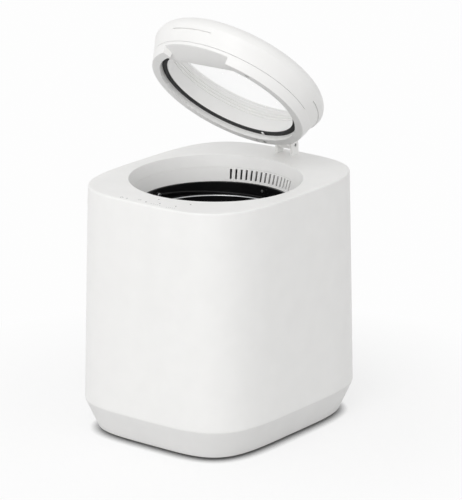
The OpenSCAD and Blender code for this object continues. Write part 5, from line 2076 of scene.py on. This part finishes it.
@dataclass(frozen=True)
class Studio:
    """A pale floor, a soft sky and one large lamp, with the camera in front and to the right."""

    eye: tuple[float, float, float] = (2.5535, -3.2532, 1.4842)
    tilt: float = 73.13
    turn: float = 37.93
    lens: float = 239.9
    sky: float = 0.56
    horizon: float = 1.14
    lean: tuple[float, float, float] = (0.0, -0.22, -0.05)
    floor_tone: float = 0.68
    seen_tone: float = 0.36
    glow: float = 0.985
    fade: tuple[float, float] = (0.24, 0.5)
    lamp_power: float = 29.0
    lamp_size: float = 2.0
    lamp_reach: float = 3.5
    lamp_azimuth: float = -72.0
    lamp_height: float = 40.0
    # how far and how strongly the painted contact shadow on the floor reaches
    painted_shadow_reach: float = 0.014
    painted_shadow_range: tuple[float, float] = (0.3, 0.93)
    middle: tuple[float, float, float] = (0.0, 0.0, 0.25)

    def build_camera(self) -> None:
        """Sets the camera where the photograph was taken from."""
        data = bpy.data.cameras.new("camera")
        data.lens = self.lens
        camera = bpy.data.objects.new("camera", data)
        camera.location = self.eye
        camera.rotation_euler = (math.radians(self.tilt), 0, math.radians(self.turn))
        bpy.context.scene.collection.objects.link(camera)
        bpy.context.scene.camera = camera

    def build_floor(self) -> None:
        """A wide pale floor that fades to white away from the object; near it the lit floor keeps the real
        shadow, and a glow that dims where the object is close by paints a dark contact shadow.
        """
        bpy.ops.object.select_all(action="DESELECT")
        bpy.ops.mesh.primitive_plane_add(size=40)
        floor = started("floor")
        made = bpy.data.materials.new("floor")
        made.use_nodes = True
        tree = made.node_tree
        tree.nodes.clear()
        wiring = Wiring(tree)
        from_middle = wiring.filled("ShaderNodeVectorMath", {"operation": "LENGTH"}, wiring.place())
        far = wiring.spread(from_middle.outputs["Value"], *self.fade)
        pale, dim = (
            wiring.add("ShaderNodeBsdfDiffuse", Color=(tone, tone, tone, 1)).outputs[0]
            for tone in (self.floor_tone, self.seen_tone)
        )
        # painted contact shadow: ambient occlusion dims the glow added near the object, so the floor turns
        # dark right under the skirt
        open_to = wiring.add("ShaderNodeAmbientOcclusion", {"samples": 12}, Distance=self.painted_shadow_reach)
        bare = wiring.spread(open_to.outputs["AO"], *self.painted_shadow_range, 0.0, 1.0 - self.seen_tone)
        glow, lift = (
            wiring.add("ShaderNodeEmission", Color=(1, 1, 1, 1), Strength=strength).outputs[0]
            for strength in (self.glow, bare)
        )
        # the lit floor plus the glow that carries the painted contact shadow
        near = wiring.filled("ShaderNodeAddShader", {}, dim, lift).outputs[0]
        seen = wiring.filled("ShaderNodeMixShader", {}, far, near, glow).outputs[0]
        out = wiring.filled("ShaderNodeMixShader", {}, self.direct_rays(wiring), pale, seen).outputs[0]
        wiring.add("ShaderNodeOutputMaterial", Surface=out)
        floor.data.materials.append(made)

    def direct_rays(self, wiring: Wiring) -> bpy.types.NodeSocket:
        """1 for the rays that show a background: from the camera, a reflection or through glass.

        Args:
            wiring: the node tree.

        Returns:
            The value.
        """
        rays = wiring.add("ShaderNodeLightPath").outputs
        seen = wiring.math("MAXIMUM", rays["Is Camera Ray"], rays["Is Glossy Ray"])
        return wiring.math("MAXIMUM", seen, rays["Is Transmission Ray"])

    def build_sky(self) -> None:
        """A white world that lights more from the sides than from above, and most from the front."""
        world = bpy.data.worlds.new("studio")
        bpy.context.scene.world = world
        world.use_nodes = True
        tree = world.node_tree
        tree.nodes.clear()
        wiring = Wiring(tree)
        way = wiring.add("ShaderNodeTexCoord").outputs["Generated"]
        up = wiring.add("ShaderNodeSeparateXYZ", Vector=way).outputs[2]
        share = wiring.math("ADD", wiring.dot(way, self.lean), 1.0)
        level = wiring.math("MULTIPLY", wiring.spread(up, 0.0, 1.0, self.horizon, self.sky), share)
        strength = wiring.math("MAXIMUM", level, self.direct_rays(wiring))
        light = wiring.add("ShaderNodeBackground", Color=(1, 1, 1, 1), Strength=strength)
        wiring.add("ShaderNodeOutputWorld", Surface=light.outputs[0])

    def build_lamp(self) -> None:
        """One large soft lamp in front and above."""
        data = bpy.data.lights.new("softbox", "AREA")
        data.shape = "RECTANGLE"
        data.size = self.lamp_size
        data.size_y = self.lamp_size
        data.energy = self.lamp_power
        lamp = bpy.data.objects.new("softbox", data)
        side, up = math.radians(self.lamp_azimuth), math.radians(self.lamp_height)
        way = Vector((math.cos(side) * math.cos(up), math.sin(side) * math.cos(up), math.sin(up)))
        middle = Vector(self.middle)
        lamp.location = middle + way * self.lamp_reach
        aim = middle - lamp.location
        lamp.rotation_euler = aim.to_track_quat("-Z", "Y").to_euler()
        bpy.context.scene.collection.objects.link(lamp)

    def build(self) -> None:
        """Sets up camera, floor, sky and lamp."""
        bpy.context.scene.view_settings.view_transform = "Standard"
        self.build_camera()
        self.build_floor()
        self.build_sky()
        self.build_lamp()


def main() -> None:
    """Builds the finishes, every piece and the studio, in that order."""
    logging.basicConfig(level=logging.INFO, format="%(name)s %(message)s")
    for finish in ALL_FINISHES:
        finish.material()
    for assembly in (Case(), Base(), Collar(), HINGE, REAR, DRAWER, Lid(), BUCKET, Stirrer(), PanelMarks()):
        assembly.build()
    dress_frame_nodes()
    Studio().build()


if __name__ == "__main__":
    main()
